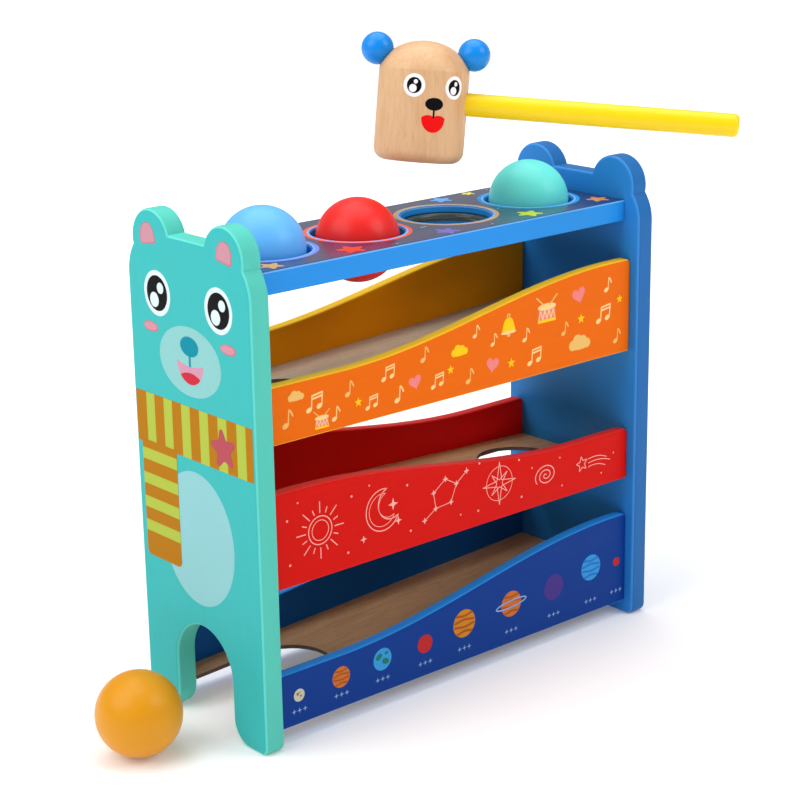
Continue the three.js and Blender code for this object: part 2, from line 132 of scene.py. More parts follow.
# Grip rings: how far the lip reaches into an empty hole, its hollow and its rounded corners
EMPTY_LIP_REACH = 1.5
EMPTY_LIP_HOLLOW = 0.8
LIP_ROUND = 0.35
RING_SEGMENTS = 96

# Depths under a painted face at which the colours of its rim and of the face itself begin; the rim colours
# are painted highlights on the rounded arrises, and the rails' inner-face colours are painted shade
PANEL_DEPTHS = (1.1, 0.3)
SHELF_DEPTHS = (0.9, 0.25)
RAIL_DEPTHS = (0.25,)

# Scorched saw cuts of the ramps: past the edge of a hole, and short of the end
SCORCH_FROM = 0.05
SCORCH_TO = 0.7
RAMP_END = 129.6
END_SCORCH = 0.15

# Printed films stand a little proud of their board, and one layer on the next
FILM_SINK = 0.04
FILM_LAYER = 0.03

# Floor, camera and lights, in metres, degrees and watts. A light has a direction to the right, up and back
# in the view, its width and its power.
FLOOR_HALF = 9.0
FLOOR_STEPS = 7
FLOOR_COLOUR = (0.94, 0.94, 0.945, 1)
GLOW_REACH = (0.3, 1.3)
GLOW_STRENGTH = (0.13, 0.68)
WHITE = (1.0, 1.0, 1.0, 1)
WORLD_STRENGTH = 0.36
LENS_MM = 90.41
SENSOR_MM = 36.0
VIEW_YAW = 40.85
VIEW_PITCH = 16.75
VIEW_ROLL = 0.91
VIEW_FROM = (-0.69469, -0.79892, 0.46824)
VIEW_END = 60.0
LIGHT_AIM = (0.0, 0.0, 0.13)
LIGHT_DISTANCE = 1.5
SOFTBOXES = {
    "left_softbox": ((-0.64, 0.52, 0.55), 1.3, 11.2),
    "right_softbox": ((0.72, 0.55, 0.42), 0.9, 6.5),
    "top_softbox": ((-0.05, 0.98, 0.10), 1.7, 16.0),
}

# Scale of the noise for grain and brush marks along X, Y and Z, per metre
GRAINS = {
    "panel": (700, 700, 45), "shelf": (45, 700, 700), "rail": (40, 700, 700), "ramp": (60, 620, 620),
    "dowel": (60, 900, 900), "head": (520, 520, 42), "handle": (180, 180, 180), "ball": (260, 260, 260),
    "rubber": (900, 900, 900), "ink": (500, 500, 500), "floor": (6, 6, 6),
}

# Light, dark and fleck of each wood, and two more fixed colours, as 8-bit display colours
WOODS = {
    "brown_plywood": ((208, 172, 128), (178, 138, 95), (142, 104, 70)),
    # Painted light: the upper ramp's plywood is a lighter copy of the brown plywood, for the stronger light
    # on the upper ramp
    "lit_upper_plywood": ((226, 202, 168), (202, 172, 136), (164, 130, 98)),
    "dowel_wood": ((226, 190, 146), (200, 158, 112), (160, 116, 76)),
    "beech": ((224, 180, 134), (208, 158, 110), (186, 134, 90)),
}
SCORCH_COLOUR = (52, 28, 16)
RUBBER_COLOUR = (58, 74, 72)

# Inks, as 8-bit display colours
INKS = {
    "face_white": (216, 230, 232), "eye_black": (9, 8, 10), "snout_pale": (138, 198, 196),
    "nose_teal": (0, 138, 160), "ear_pink": (198, 142, 156), "cheek_pink": (206, 142, 158),
    "rim_pink": (192, 116, 130), "mouth_pink": (208, 146, 170), "tongue_red": (200, 42, 60),
    "scarf_ochre": (178, 116, 0), "scarf_yellow": (174, 190, 70), "scarf_star": (180, 78, 88),
    "belly_pale": (142, 200, 204), "rim_blue": (120, 182, 250), "ring_violet": (128, 140, 226),
    "ring_salmon": (232, 104, 78), "ring_gold": (206, 166, 116), "ring_cyan": (46, 150, 222),
    "star_tan": (212, 164, 104), "star_red": (236, 74, 52), "star_green": (190, 214, 60),
    "star_orange": (214, 140, 78), "star_yellow": (232, 220, 80), "star_blue": (112, 170, 240),
    "star_violet": (120, 112, 190), "note_cream": (250, 210, 142), "note_yellow": (255, 204, 24),
    "note_sand": (238, 190, 108), "note_pink": (240, 134, 130), "line_pink": (248, 178, 166),
    "hammer_white": (250, 244, 246), "hammer_black": (16, 14, 18), "hammer_red": (240, 20, 20),
    "disc_grey": (200, 200, 176), "disc_orange": (206, 112, 50), "disc_brown": (168, 88, 36),
    "disc_sky": (58, 154, 220), "disc_leaf": (40, 122, 96), "disc_red": (190, 44, 46),
    "disc_gold": (206, 132, 36), "disc_violet": (74, 56, 136), "disc_blue": (34, 118, 200),
    "disc_pale": (140, 172, 216),
}


def colour_property(label, description, rgb):
    """A display colour that a user may change."""
    return FloatVectorProperty(
        name=label, description=description, subtype="COLOR_GAMMA", size=3, min=0.0, max=1.0,
        default=tuple(channel / 255 for channel in rgb),
    )


def length_property(label, description, metres):
    """A length that a user may change."""
    return FloatProperty(name=label, description=description, default=metres, unit="LENGTH")


class BenchSizes(bpy.types.PropertyGroup):
    """Sizes of the finish that the solids leave plain."""

    panel_round: length_property("Panel edge round", "Radius of the end panels' edges", 0.002)
    rail_round: length_property("Rail edge round", "Radius of the side rails' edges", 0.0012)
    shelf_round: length_property("Shelf edge round", "Radius of the shelf's long edges", 0.001)
    print_thickness: length_property("Print thickness", "Height of a printed film", 0.00005)
    line_width: length_property("Line width", "Width of the drawn lines on the red rails", 0.00055)


class BenchColours(bpy.types.PropertyGroup):
    """Paints of the boards, balls and hammer."""

    teal: colour_property("Teal face", "Face of the teal panel", (56, 182, 181))
    mint: colour_property("Mint edge", "Edges of the teal panel", (88, 200, 184))
    # Painted highlight: a paler mint band along the rounded rim of the teal face, for the light its rounded
    # edge catches
    mint_arris_highlight: colour_property("Mint arris", "Rounded rim of the teal face", (104, 216, 204))
    blue: colour_property("Blue edge", "Edges and outer face of the blue panel", (31, 105, 174))
    # Painted light: the inner face is a lighter copy of the blue edge paint, for the left lamp falling on it
    lit_blue_inside: colour_property("Blue inside", "Inner face of the blue panel", (44, 136, 218))
    # Painted highlight: a paler band along the rounded rim of the inner face
    blue_arris_highlight: colour_property("Blue arris", "Rounded rim of the blue panel's inner face", (60, 142, 220))
    shelf: colour_property("Shelf edge", "Edges and hole walls of the shelf", (34, 144, 230))
    # Painted highlight: a paler band along the rounded top arris of the shelf
    shelf_arris_highlight: colour_property("Shelf arris", "Rounded rim of the shelf's print", (112, 178, 246))
    night: colour_property("Shelf print", "Ground of the print on the shelf", (40, 46, 92))
    orange: colour_property("Orange face", "Printed face of the orange rails", (236, 106, 0))
    amber: colour_property("Amber edge", "Edges of the orange rails", (255, 200, 40))
    # Painted shade: the inside of the orange rails is a darker copy of the amber edge paint
    ochre_shaded_inside: colour_property("Ochre inside", "Inside of the orange rails", (250, 152, 6))
    red: colour_property("Red face", "Printed face of the red rails", (212, 12, 2))
    rose: colour_property("Rose edge", "Edges of the red rails", (226, 48, 44))
    # Painted shade: the inside of the red rails is a darker copy of the rose edge paint
    crimson_shaded_inside: colour_property("Crimson inside", "Inside of the red rails", (226, 16, 8))
    royal: colour_property("Royal face", "Printed face of the blue rails", (10, 58, 140))
    azure: colour_property("Azure edge", "Edges of the blue rails", (40, 140, 230))
    # Painted shade: the inside of the blue rails is a darker copy of the azure edge paint
    navy_shaded_inside: colour_property("Navy inside", "Inside of the blue rails", (20, 92, 166))
    ball_blue: colour_property("Blue ball", "Paint of the blue ball", (99, 184, 255))
    ball_red: colour_property("Red ball", "Paint of the red ball", (238, 30, 26))
    ball_green: colour_property("Green ball", "Paint of the green ball", (104, 233, 227))
    ball_yellow: colour_property("Yellow ball", "Paint of the yellow ball", (228, 152, 4))
    bead: colour_property("Ear beads", "Paint of the hammer's ears", (2, 136, 228))
    handle: colour_property("Handle", "Paint of the hammer's handle", (250, 214, 4))


def sizes():
    """The sizes of this scene."""
    return bpy.context.scene.bench_sizes


def paint(name):
    """One paint of this scene, as a linear colour."""
    return linear(getattr(bpy.context.scene.bench_colours, name))


def linear(rgb):
    """Linear colour with full alpha of a display colour from 0 to 1."""
    value = np.asarray(rgb, float)
    low, high = value / 12.92, ((value + 0.055) / 1.055) ** 2.4
    return (*np.where(value <= 0.04045, low, high).tolist(), 1.0)


def display(rgb):
    """Linear colour with full alpha of an 8-bit display colour."""
    return linear(np.array(rgb) / 255)


# Meshes


def put_piece(name, points, faces, finishes, body, slot, replaced=(), face_finish=None, sharp=32.0):
    """Makes one piece from points in millimetres, doubles merged and faces turned outwards, on a body."""
    mesh = bpy.data.meshes.new(name)
    mesh.from_pydata((np.asarray(points, float) * MM).tolist(), [], faces)
    for finish in finishes:
        mesh.materials.append(finish)
    if face_finish is not None:
        mesh.polygons.foreach_set("material_index", face_finish)
    skin = bmesh.new()
    skin.from_mesh(mesh)
    bmesh.ops.remove_doubles(skin, verts=skin.verts, dist=1e-6)
    bmesh.ops.recalc_face_normals(skin, faces=skin.faces)
    skin.to_mesh(mesh)
    skin.free()
    mesh.shade_smooth()
    mesh.set_sharp_from_angle(angle=math.radians(sharp))
    piece = bpy.data.objects.new(name, mesh)
    bpy.context.scene.collection.objects.link(piece)
    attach(piece, body)
    if replaced:
        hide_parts(*replaced)
    return piece


def even_faces(piece):
    """Keeps the flat faces of a board even up to their rounded edges."""
    piece.modifiers.new("even_faces", "WEIGHTED_NORMAL").keep_sharp = True


def strip_faces(rows, columns, closed):
    """Quads of a grid of points, row by row; a closed grid joins its last column to its first."""
    column = np.arange(columns if closed else columns - 1)
    start = np.arange(rows - 1)[:, None] * columns
    here, there = start + column, start + (column + 1) % columns
    return np.stack([here, there, there + columns, here + columns], -1).reshape(-1, 4)


def stacked_loops(loops):
    """Points and faces of a stack of closed loops: quads between them and one face at either end."""
    rows, columns = loops.shape[:2]
    row = np.arange(columns)
    faces = strip_faces(rows, columns, True).tolist()
    return loops.reshape(-1, 3), [*faces, row[::-1].tolist(), (row + (rows - 1) * columns).tolist()]


def turned(profile, segments):
    """Surface of revolution about Z: (radius, height) points become rings between a pole at either end."""
    profile = np.asarray(profile, float)
    turn = np.linspace(0, TAU, segments, endpoint=False)
    radius, height = profile[1:-1, 0, None], profile[1:-1, 1, None]
    rings = np.stack([radius * np.cos(turn), radius * np.sin(turn), height + 0 * turn], -1)
    poles = [[0, 0, profile[0, 1]], [0, 0, profile[-1, 1]]]
    row, last = np.arange(segments), (len(profile) - 3) * segments
    count = rings.shape[0] * segments
    low = np.stack([np.roll(row, -1), row, np.full(segments, count)], -1)
    high = np.stack([row + last, np.roll(row, -1) + last, np.full(segments, count + 1)], -1)
    faces = [*strip_faces(len(rings), segments, True).tolist(), *low.tolist(), *high.tolist()]
    return np.concatenate([rings.reshape(-1, 3), poles]), faces


def arc(x, y, radius, start, end, steps):
    """Points of a circular arc, angles in radians."""
    angle = np.linspace(start, end, steps + 1)
    return np.stack([x + radius * np.cos(angle), y + radius * np.sin(angle)], -1)


def apart(points):
    """A closed outline without points that repeat their neighbour."""
    step = np.linalg.norm(points - np.roll(points, 1, 0), axis=1)
    return points[step > 1e-6]


def moved_in(outline, depth):
    """A counter-clockwise outline moved inwards along its mitred corner normals."""
    def normal(edge):
        return np.stack([-edge[:, 1], edge[:, 0]], -1) / np.linalg.norm(edge, axis=1)[:, None]
    before = normal(outline - np.roll(outline, 1, 0))
    after = normal(np.roll(outline, -1, 0) - outline)
    mitre = (before + after) / (1 + (before * after).sum(1))[:, None]
    return outline + depth * mitre


def board_loops(outline, thickness, radius, steps=5):
    """Loops of a board with quarter-round edges, from its lower face to its upper face."""
    angle = np.linspace(0, math.pi / 2, steps + 1)
    depth = radius * (1 - np.sin(angle))
    height = radius * (1 - np.cos(angle))
    low = [np.c_[moved_in(outline, d), np.full(len(outline), h)] for d, h in zip(depth, height)]
    high = [np.c_[loop[:, :2], thickness - loop[:, 2]] for loop in low[::-1]]
    return np.array(low + high)


def panel_outline(arched):
    """Outline of an end panel in Y and Z: round ears cut by round shoulders, straight sides, and feet with
    an arch between them or a level sole."""
    half = PANEL_HALF_WIDTH
    ear = np.array([half - EAR_INSET - EAR_RADIUS, HEAD_TOP - EAR_DROP])
    shoulder = np.array([half - SHOULDER_RADIUS, HEAD_TOP - SHOULDER_DROP])
    gap = np.linalg.norm(ear - shoulder)
    along = (SHOULDER_RADIUS**2 - EAR_RADIUS**2 + gap**2) / (2 * gap)
    across = math.sqrt(SHOULDER_RADIUS**2 - along**2)
    unit = (ear - shoulder) / gap
    corner = shoulder + along * unit + across * np.array([unit[1], -unit[0]])

    def bearing(centre):
        return math.atan2(corner[1] - centre[1], corner[0] - centre[0])
    inner = half - FOOT_RADIUS - FOOT_FLAT - ARCH_RADIUS
    arch = [
        arc(ARCH_RADIUS + inner, inner, inner, -math.pi / 2, -math.pi, 14),
        arc(0, ARCH_HEIGHT - ARCH_RADIUS, ARCH_RADIUS, 0, math.pi / 2, 24)[:-1], [[0, ARCH_HEIGHT]],
    ]
    right = np.concatenate([
        arc(*ear, EAR_RADIUS, math.pi - math.asin(EAR_DROP / EAR_RADIUS), bearing(ear), 44),
        arc(*shoulder, SHOULDER_RADIUS, bearing(shoulder), 0, 16),
        arc(half - FOOT_RADIUS, FOOT_RADIUS, FOOT_RADIUS, 0, -math.pi / 2, 10),
        *(arch if arched else []),
    ])
    outline = apart(np.concatenate([right, right[::-1] * [-1, 1]]))
    return outline[::-1]


def rail_box(colour):
    """Lowest and highest corner of a front rail."""
    return node_box(f"{colour}_rail_front")


def rail_height(colour, x):
    """Height of a rail over its underside at x: level, half a cosine wave, level."""
    low, high = rail_box(colour)
    along = -RAIL_LOW_END[colour] * np.asarray(x, float)
    start, end = low[0] + RAIL_LOW_RUN[colour], high[0] - WAVE_HIGH_RUN
    part = np.clip((along - start) / (end - start), 0, 1)
    rise = (1 - np.cos(math.pi * part)) / 2
    return RAIL_LOW_HEIGHT[colour] + (high[2] - low[2] - RAIL_LOW_HEIGHT[colour]) * rise


def rail_outline(colour):
    """Outline of a side rail in X and Z, over its underside."""
    low, high = rail_box(colour)
    half, tall = high[0], high[2] - low[2]
    wave_x = np.linspace(half - WAVE_HIGH_RUN, -half + RAIL_LOW_RUN[colour], 73)
    wave = np.stack([wave_x, rail_height(colour, -RAIL_LOW_END[colour] * wave_x)], -1)
    outline = np.concatenate([
        [[-half, 0], [half, 0]],
        arc(half - RAIL_CORNER, tall - RAIL_CORNER, RAIL_CORNER, 0, math.pi / 2, 8),
        wave,
        arc(RAIL_CORNER - half, RAIL_LOW_HEIGHT[colour] - RAIL_CORNER, RAIL_CORNER, math.pi / 2, math.pi, 8),
    ])
    if RAIL_LOW_END[colour] > 0:
        outline = (outline * [-1, 1])[::-1]
    return apart(outline)


def shelf_skin(radius):
    """Skin of the shelf: a grid from each hole to its cell's border, the grooved hole walls, the rounded
    long edges as a profile carried along X, and the two ends."""
    reach, end = (HOLE_X[1] - HOLE_X[0]) / 2, SHELF_HIGH[0]
    side, inner = SHELF_HIGH[1], SHELF_HIGH[1] - radius
    across = np.linspace(-inner, inner, CELL_STEPS + 1)
    along = np.linspace(-reach, reach, CELL_STEPS + 1)
    level = np.ones(CELL_STEPS)
    border = np.concatenate([
        np.c_[reach * level, across[:-1]], np.c_[along[::-1][:-1], inner * level],
        np.c_[-reach * level, across[::-1][:-1]], np.c_[along[:-1], -inner * level],
    ])
    bearing = np.arctan2(border[:, 1], border[:, 0])
    circle = np.stack([np.cos(bearing), np.sin(bearing)], -1)
    lip = np.linspace(0, math.pi / 2, 5)
    lip_out, lip_down = HOLE_ROUND * (1 - np.sin(lip)), HOLE_ROUND * (1 - np.cos(lip))
    groove = RING_HALF_HEIGHT + FIT_GAP
    wall = np.concatenate([
        np.c_[lip_out, SHELF_TOP - lip_down],
        [[0, RING_MIDDLE + groove], [RING_SEAT, RING_MIDDLE + groove],
         [RING_SEAT, RING_MIDDLE - groove], [0, RING_MIDDLE - groove]],
        np.c_[lip_out, SHELF_BOTTOM + lip_down][::-1],
    ])
    rings = [np.c_[circle * (HOLE_RADIUS + out), np.full(len(circle), z)] for out, z in wall]
    shares = np.array([0.12, 0.4, 1.0])
    mouth = circle * (HOLE_RADIUS + HOLE_ROUND)
    top = [np.c_[mouth + (border - mouth) * s, np.full(len(circle), SHELF_TOP)] for s in shares[::-1]]
    bottom = [np.c_[mouth + (border - mouth) * s, np.full(len(circle), SHELF_BOTTOM)] for s in shares]
    cell = np.array(top + rings + bottom)
    points, faces, count = [], [], 0

    def grow(grid, closed):
        nonlocal count
        points.append(grid.reshape(-1, 3))
        faces.extend((strip_faces(grid.shape[0], grid.shape[1], closed) + count).tolist())
        count += grid.shape[0] * grid.shape[1]

    for x in HOLE_X:
        grow(cell + [x, 0, 0], True)
    angle = np.linspace(math.pi / 2, 0, 6)
    upper = np.c_[inner + radius * np.cos(angle), SHELF_TOP - radius + radius * np.sin(angle)]
    lower = np.c_[upper[::-1, 0], SHELF_TOP + SHELF_BOTTOM - upper[::-1, 1]]
    edge = np.concatenate([upper, lower])
    run = np.unique(np.concatenate([[-end, end], *[x + along for x in HOLE_X]]).round(6))
    for way in (-1, 1):
        grow(np.stack(np.broadcast_arrays(run[:, None], way * edge[:, 0], edge[:, 1]), -1), False)
        ends = way * np.array([HOLE_X[-1] + reach, end])
        for z in (SHELF_TOP, SHELF_BOTTOM):
            grow(np.stack(np.broadcast_arrays(ends[:, None], across, z), -1), False)
        rim = np.concatenate([
            np.c_[across, np.full(CELL_STEPS + 1, SHELF_TOP)], edge[1:],
            np.c_[across[::-1], np.full(CELL_STEPS + 1, SHELF_BOTTOM)][1:], (edge * [-1, 1])[::-1][1:-1],
        ])
        points.append(np.c_[np.full(len(rim), way * end), rim])
        faces.append((np.arange(len(rim)) + count).tolist())
        count += len(rim)
    return np.concatenate(points), faces


def ring_skin(x, ball_height):
    """Skin of a grip ring: a closed profile carried round the hole; its lip follows the ball that sits in it,
    or is a hollow curve where the hole is empty."""
    outer = HOLE_RADIUS + RING_SEAT - FIT_GAP
    lip_z = np.linspace(RING_HALF_HEIGHT, -RING_HALF_HEIGHT, 13)
    round_off = LIP_ROUND * (np.abs(lip_z) / RING_HALF_HEIGHT) ** 6
    if ball_height is None:
        lip = BALL_RADIUS - EMPTY_LIP_REACH + EMPTY_LIP_HOLLOW * (lip_z / RING_HALF_HEIGHT) ** 2 + round_off
    else:
        lip = np.sqrt((BALL_RADIUS + FIT_GAP) ** 2 - (lip_z - ball_height) ** 2) + round_off
    profile = np.concatenate([
        np.c_[lip, lip_z], [[outer, -RING_HALF_HEIGHT], [outer, RING_HALF_HEIGHT]],
    ])
    radius, height = profile.T
    turn = np.linspace(0, TAU, RING_SEGMENTS, endpoint=False)[:, None]
    grid = np.stack([x + radius * np.cos(turn), radius * np.sin(turn), RING_MIDDLE + height + 0 * turn], -1)
    grid = np.concatenate([grid, grid[:1]])
    return grid.reshape(-1, 3), strip_faces(RING_SEGMENTS + 1, len(profile), True).tolist()


def ball_profile(radius, steps=40):
    """Half circle from the lower to the upper pole."""
    angle = np.linspace(-math.pi / 2, math.pi / 2, steps + 1)
    return np.c_[radius * np.cos(angle), radius * np.sin(angle)]


def dome_ellipse():
    """The ellipse over the hammer's shoulder: its centre's height, its upright and level half axes, and the
    angle at which it leaves the wall."""
    up = DOME_HEIGHT + DOME_SINK
    start = math.asin(DOME_SINK / up)
    return HEAD_HALF_HEIGHT - DOME_HEIGHT - DOME_SINK, up, HEAD_RADIUS / math.cos(start), start


def head_profile():
    """Profile of the hammer's head: flat base, rounded edge, straight wall, shoulder crease and dome."""
    centre, up, out, start = dome_ellipse()
    base = arc(HEAD_RADIUS - BASE_ROUND, BASE_ROUND - HEAD_HALF_HEIGHT, BASE_ROUND, -math.pi / 2, 0, 12)
    angle = np.linspace(start, math.pi / 2, 25)
    dome = np.c_[out * np.cos(angle), centre + up * np.sin(angle)]
    wall = np.c_[np.full(5, HEAD_RADIUS), np.linspace(base[-1, 1], dome[0, 1], 7)[1:-1]]
    flat = np.c_[[0, HEAD_RADIUS / 3, 2 * HEAD_RADIUS / 3], np.full(3, -HEAD_HALF_HEIGHT)]
    return np.concatenate([flat, base, wall, dome])


def hammer_turn():
    """Rotation of the hammer: yaw about Z, then the handle's dip about Y, then the head's lean about X."""
    yaw = Matrix.Rotation(math.radians(HAMMER_YAW), 3, "Z")
    dip = Matrix.Rotation(math.radians(HAMMER_DIP), 3, "Y")
    lean = Matrix.Rotation(math.radians(HAMMER_LEAN), 3, "X")
    return np.array(yaw @ dip @ lean)


def on_hammer(points):
    """Points of the hammer's own frame, where the hammer is held."""
    return np.asarray(points) @ hammer_turn().T + HAMMER_PLACE


# Flat shapes for the prints


def ellipse(x, y, wide, high, turn=0.0, steps=56):
    """Ellipse by its half axes, turned by degrees."""
    angle = np.linspace(0, TAU, steps, endpoint=False)
    points = np.c_[wide * np.cos(angle), high * np.sin(angle)]
    return rotated(points, turn) + [x, y]


def rotated(points, degrees):
    """Points turned about the origin."""
    c, s = math.cos(math.radians(degrees)), math.sin(math.radians(degrees))
    return points @ np.array([[c, s], [-s, c]])


def soft_star(x, y, radius, turn=0.0, tips=5, depth=0.27):
    """Star with rounded tips: its radius swings as a cosine, sharpened towards the tips."""
    angle = np.linspace(0, TAU, 20 * tips, endpoint=False)
    swing = np.cos(tips * angle)
    reach = radius * (1 - depth + depth * swing * (0.8 + 0.2 * swing))
    return rotated(np.c_[-reach * np.sin(angle), reach * np.cos(angle)], turn) + [x, y]


def sharp_star(x, y, radius, tips=5, inner=0.42, turn=0.0):
    """Star with straight edges between outer and inner corners."""
    angle = np.linspace(0, TAU, 2 * tips, endpoint=False)
    reach = radius * np.where(np.arange(2 * tips) % 2 == 0, 1, inner)
    return rotated(np.c_[-reach * np.sin(angle), reach * np.cos(angle)], turn) + [x, y]


def heart(x, y, size, turn=0.0):
    """Heart from a sum of cosines, scaled to its half width."""
    t = np.linspace(0, TAU, 64, endpoint=False)
    points = np.c_[16 * np.sin(t) ** 3,
                   13 * np.cos(t) - 5 * np.cos(2 * t) - 2 * np.cos(3 * t) - np.cos(4 * t)]
    return rotated(points * size / 16, turn)[::-1] + [x, y]


def crescent(x, y, radius, turn=0.0):
    """Moon between an outer circle and a smaller one set to its side."""
    outer = arc(0, 0, radius, math.radians(50), math.radians(310), 40)
    middle, bite = 0.55 * radius, math.hypot(outer[0, 0] - 0.55 * radius, outer[0, 1])
    start = math.atan2(outer[-1, 1], outer[-1, 0] - middle) + TAU
    end = math.atan2(outer[0, 1], outer[0, 0] - middle)
    return rotated(np.concatenate([outer, arc(middle, 0, bite, start, end, 32)[1:-1]]), turn) + [x, y]


def ribbon(path, width):
    """Outline of a line of even width along an open path, with square ends."""
    path = np.asarray(path, float)
    run = np.gradient(path, axis=0)
    side = np.stack([-run[:, 1], run[:, 0]], -1) / np.linalg.norm(run, axis=1)[:, None] * width / 2
    return np.concatenate([path - side, (path + side)[::-1]])


def hoop(x, y, radius, width, steps=72):
    """Outline of a circle drawn as a line."""
    angle = np.linspace(0, TAU - 1e-3, steps)
    return ribbon(np.c_[x + radius * np.cos(angle), y + radius * np.sin(angle)], width)


def box(left, low, right, high):
    """Rectangle."""
    return np.array([[left, low], [right, low], [right, high], [left, high]], float)


def line(*corners, width, steps=6):
    """Straight strokes through corners, one ribbon for each."""
    corners = np.asarray(corners, float)
    share = np.linspace(0, 1, steps)[:, None]
    return [ribbon(a + (b - a) * share, width) for a, b in zip(corners[:-1], corners[1:])]


class Film:
    """The shapes of one print: outlines with their ink and layer."""

    def __init__(self, hand=1):
        """Starts an empty print; hand is -1 where it is looked at against the first axis."""
        self.shapes = []
        self.hand = hand

    def add(self, ink, outlines, layer=0):
        """Adds one outline or a list of them."""
        for number, outline in enumerate(outlines if isinstance(outlines, list) else [outlines]):
            self.shapes.append((np.asarray(outline, float), ink, layer + 0.25 * (number % 3)))

    def put(self, name, place, body, slot):
        """Makes the print one piece: a thin closed plate for each outline. The function place puts points
        of the print in space, at a lift from the board."""
        inks = sorted({ink for _, ink, _ in self.shapes})
        points, faces, numbers, count = [], [], [], 0
        thickness = sizes().print_thickness / MM
        for outline, ink, layer in self.shapes:
            size = len(outline)
            lift = thickness + layer * FILM_LAYER
            points += [place(outline, -FILM_SINK), place(outline, lift)]
            row = np.arange(size) + count
            after = np.roll(row, -1)
            faces += np.stack([row, after, after + size, row + size], -1).tolist()
            faces += [row[::-1].tolist(), (row + size).tolist()]
            numbers += [inks.index(ink)] * (size + 2)
            count += 2 * size
        finishes = [ink_finish(ink) for ink in inks]
        return put_piece(name, np.concatenate(points), faces, finishes, body, slot, (), numbers, sharp=20.0)


# Shader groups and finishes


def add(tree, kind, settings=None, values=None):
    """A new node with its settings and the values of its inputs."""
    made = tree.nodes.new(kind)
    for name, value in (settings or {}).items():
        setattr(made, name, value)
    for name, value in (values or {}).items():
        made.inputs[name].default_value = value
    return made


def new_group(name, inputs, outputs):
    """A shader group with its input and output nodes."""
    tree = bpy.data.node_groups.new(name, "ShaderNodeTree")
    for label, kind, default in inputs:
        socket = tree.interface.new_socket(label, in_out="INPUT", socket_type=kind)
        if default is not None:
            socket.default_value = default
    for label, kind in outputs:
        tree.interface.new_socket(label, in_out="OUTPUT", socket_type=kind)
    return tree, add(tree, "NodeGroupInput"), add(tree, "NodeGroupOutput")


def math_node(tree, operation, first, second=None, third=None):
    """A Math node between sockets or numbers; returns its output."""
    made = add(tree, "ShaderNodeMath", {"operation": operation})
    for place, value in enumerate((first, second, third)):
        if value is None:
            continue
        if isinstance(value, (int, float)):
            made.inputs[place].default_value = value
        else:
            tree.links.new(value, made.inputs[place])
    return made.outputs[0]


def mix_colour(tree, factor, first, second):
    """A colour mix between sockets or colours; returns its output."""
    made = add(tree, "ShaderNodeMix", {"data_type": "RGBA"})
    tree.links.new(factor, made.inputs[0])
    for place, value in ((6, first), (7, second)):
        if isinstance(value, tuple):
            made.inputs[place].default_value = value
        else:
            tree.links.new(value, made.inputs[place])
    return made.outputs[2]


def span(tree, value, low, high, to_low=0.0, to_high=1.0):
    """A value mapped from one span to another and held at its ends."""
    made = add(tree, "ShaderNodeMapRange", {"clamp": True}, {
        "From Min": low, "From Max": high, "To Min": to_low, "To Max": to_high})
    tree.links.new(value, made.inputs["Value"])
    return made.outputs["Result"]


def brushed_paint_group():
    """Paint on wood: brush and grain streaks, broad unevenness and a fine orange peel."""
    tree, given, out = new_group("brushed_paint", [
        ("Vector", "NodeSocketVector", None), ("Colour", "NodeSocketColor", (1, 1, 1, 1)),
        ("Unevenness", "NodeSocketFloat", 0.06), ("Smoothest", "NodeSocketFloat", 0.3),
        ("Roughest", "NodeSocketFloat", 0.42),
    ], [("Colour", "NodeSocketColor"), ("Roughness", "NodeSocketFloat"), ("Height", "NodeSocketFloat")])
    streak = add(tree, "ShaderNodeTexNoise", None, {"Scale": 1.0, "Detail": 4.0, "Roughness": 0.6})
    cloud = add(tree, "ShaderNodeTexNoise", None, {"Scale": 0.11, "Detail": 2.0, "Roughness": 0.5})
    peel = add(tree, "ShaderNodeTexNoise", None, {"Scale": 2.6, "Detail": 1.0, "Roughness": 0.5})
    for noise in (streak, cloud, peel):
        tree.links.new(given.outputs["Vector"], noise.inputs["Vector"])
    blend = math_node(tree, "MULTIPLY_ADD", cloud.outputs["Fac"], 0.7, streak.outputs["Fac"])
    swing = math_node(tree, "SUBTRACT", blend, 0.85)
    value = math_node(tree, "MULTIPLY_ADD", swing, given.outputs["Unevenness"], 1.0)
    tint = add(tree, "ShaderNodeHueSaturation")
    tree.links.new(given.outputs["Colour"], tint.inputs["Color"])
    tree.links.new(value, tint.inputs["Value"])
    tree.links.new(tint.outputs["Color"], out.inputs["Colour"])
    rough = add(tree, "ShaderNodeMapRange", {"clamp": True}, {"From Min": 0.35, "From Max": 0.65})
    tree.links.new(cloud.outputs["Fac"], rough.inputs["Value"])
    tree.links.new(given.outputs["Smoothest"], rough.inputs["To Min"])
    tree.links.new(given.outputs["Roughest"], rough.inputs["To Max"])
    tree.links.new(rough.outputs["Result"], out.inputs["Roughness"])
    relief = math_node(tree, "MULTIPLY_ADD", peel.outputs["Fac"], 0.5, streak.outputs["Fac"])
    tree.links.new(relief, out.inputs["Height"])
    return tree


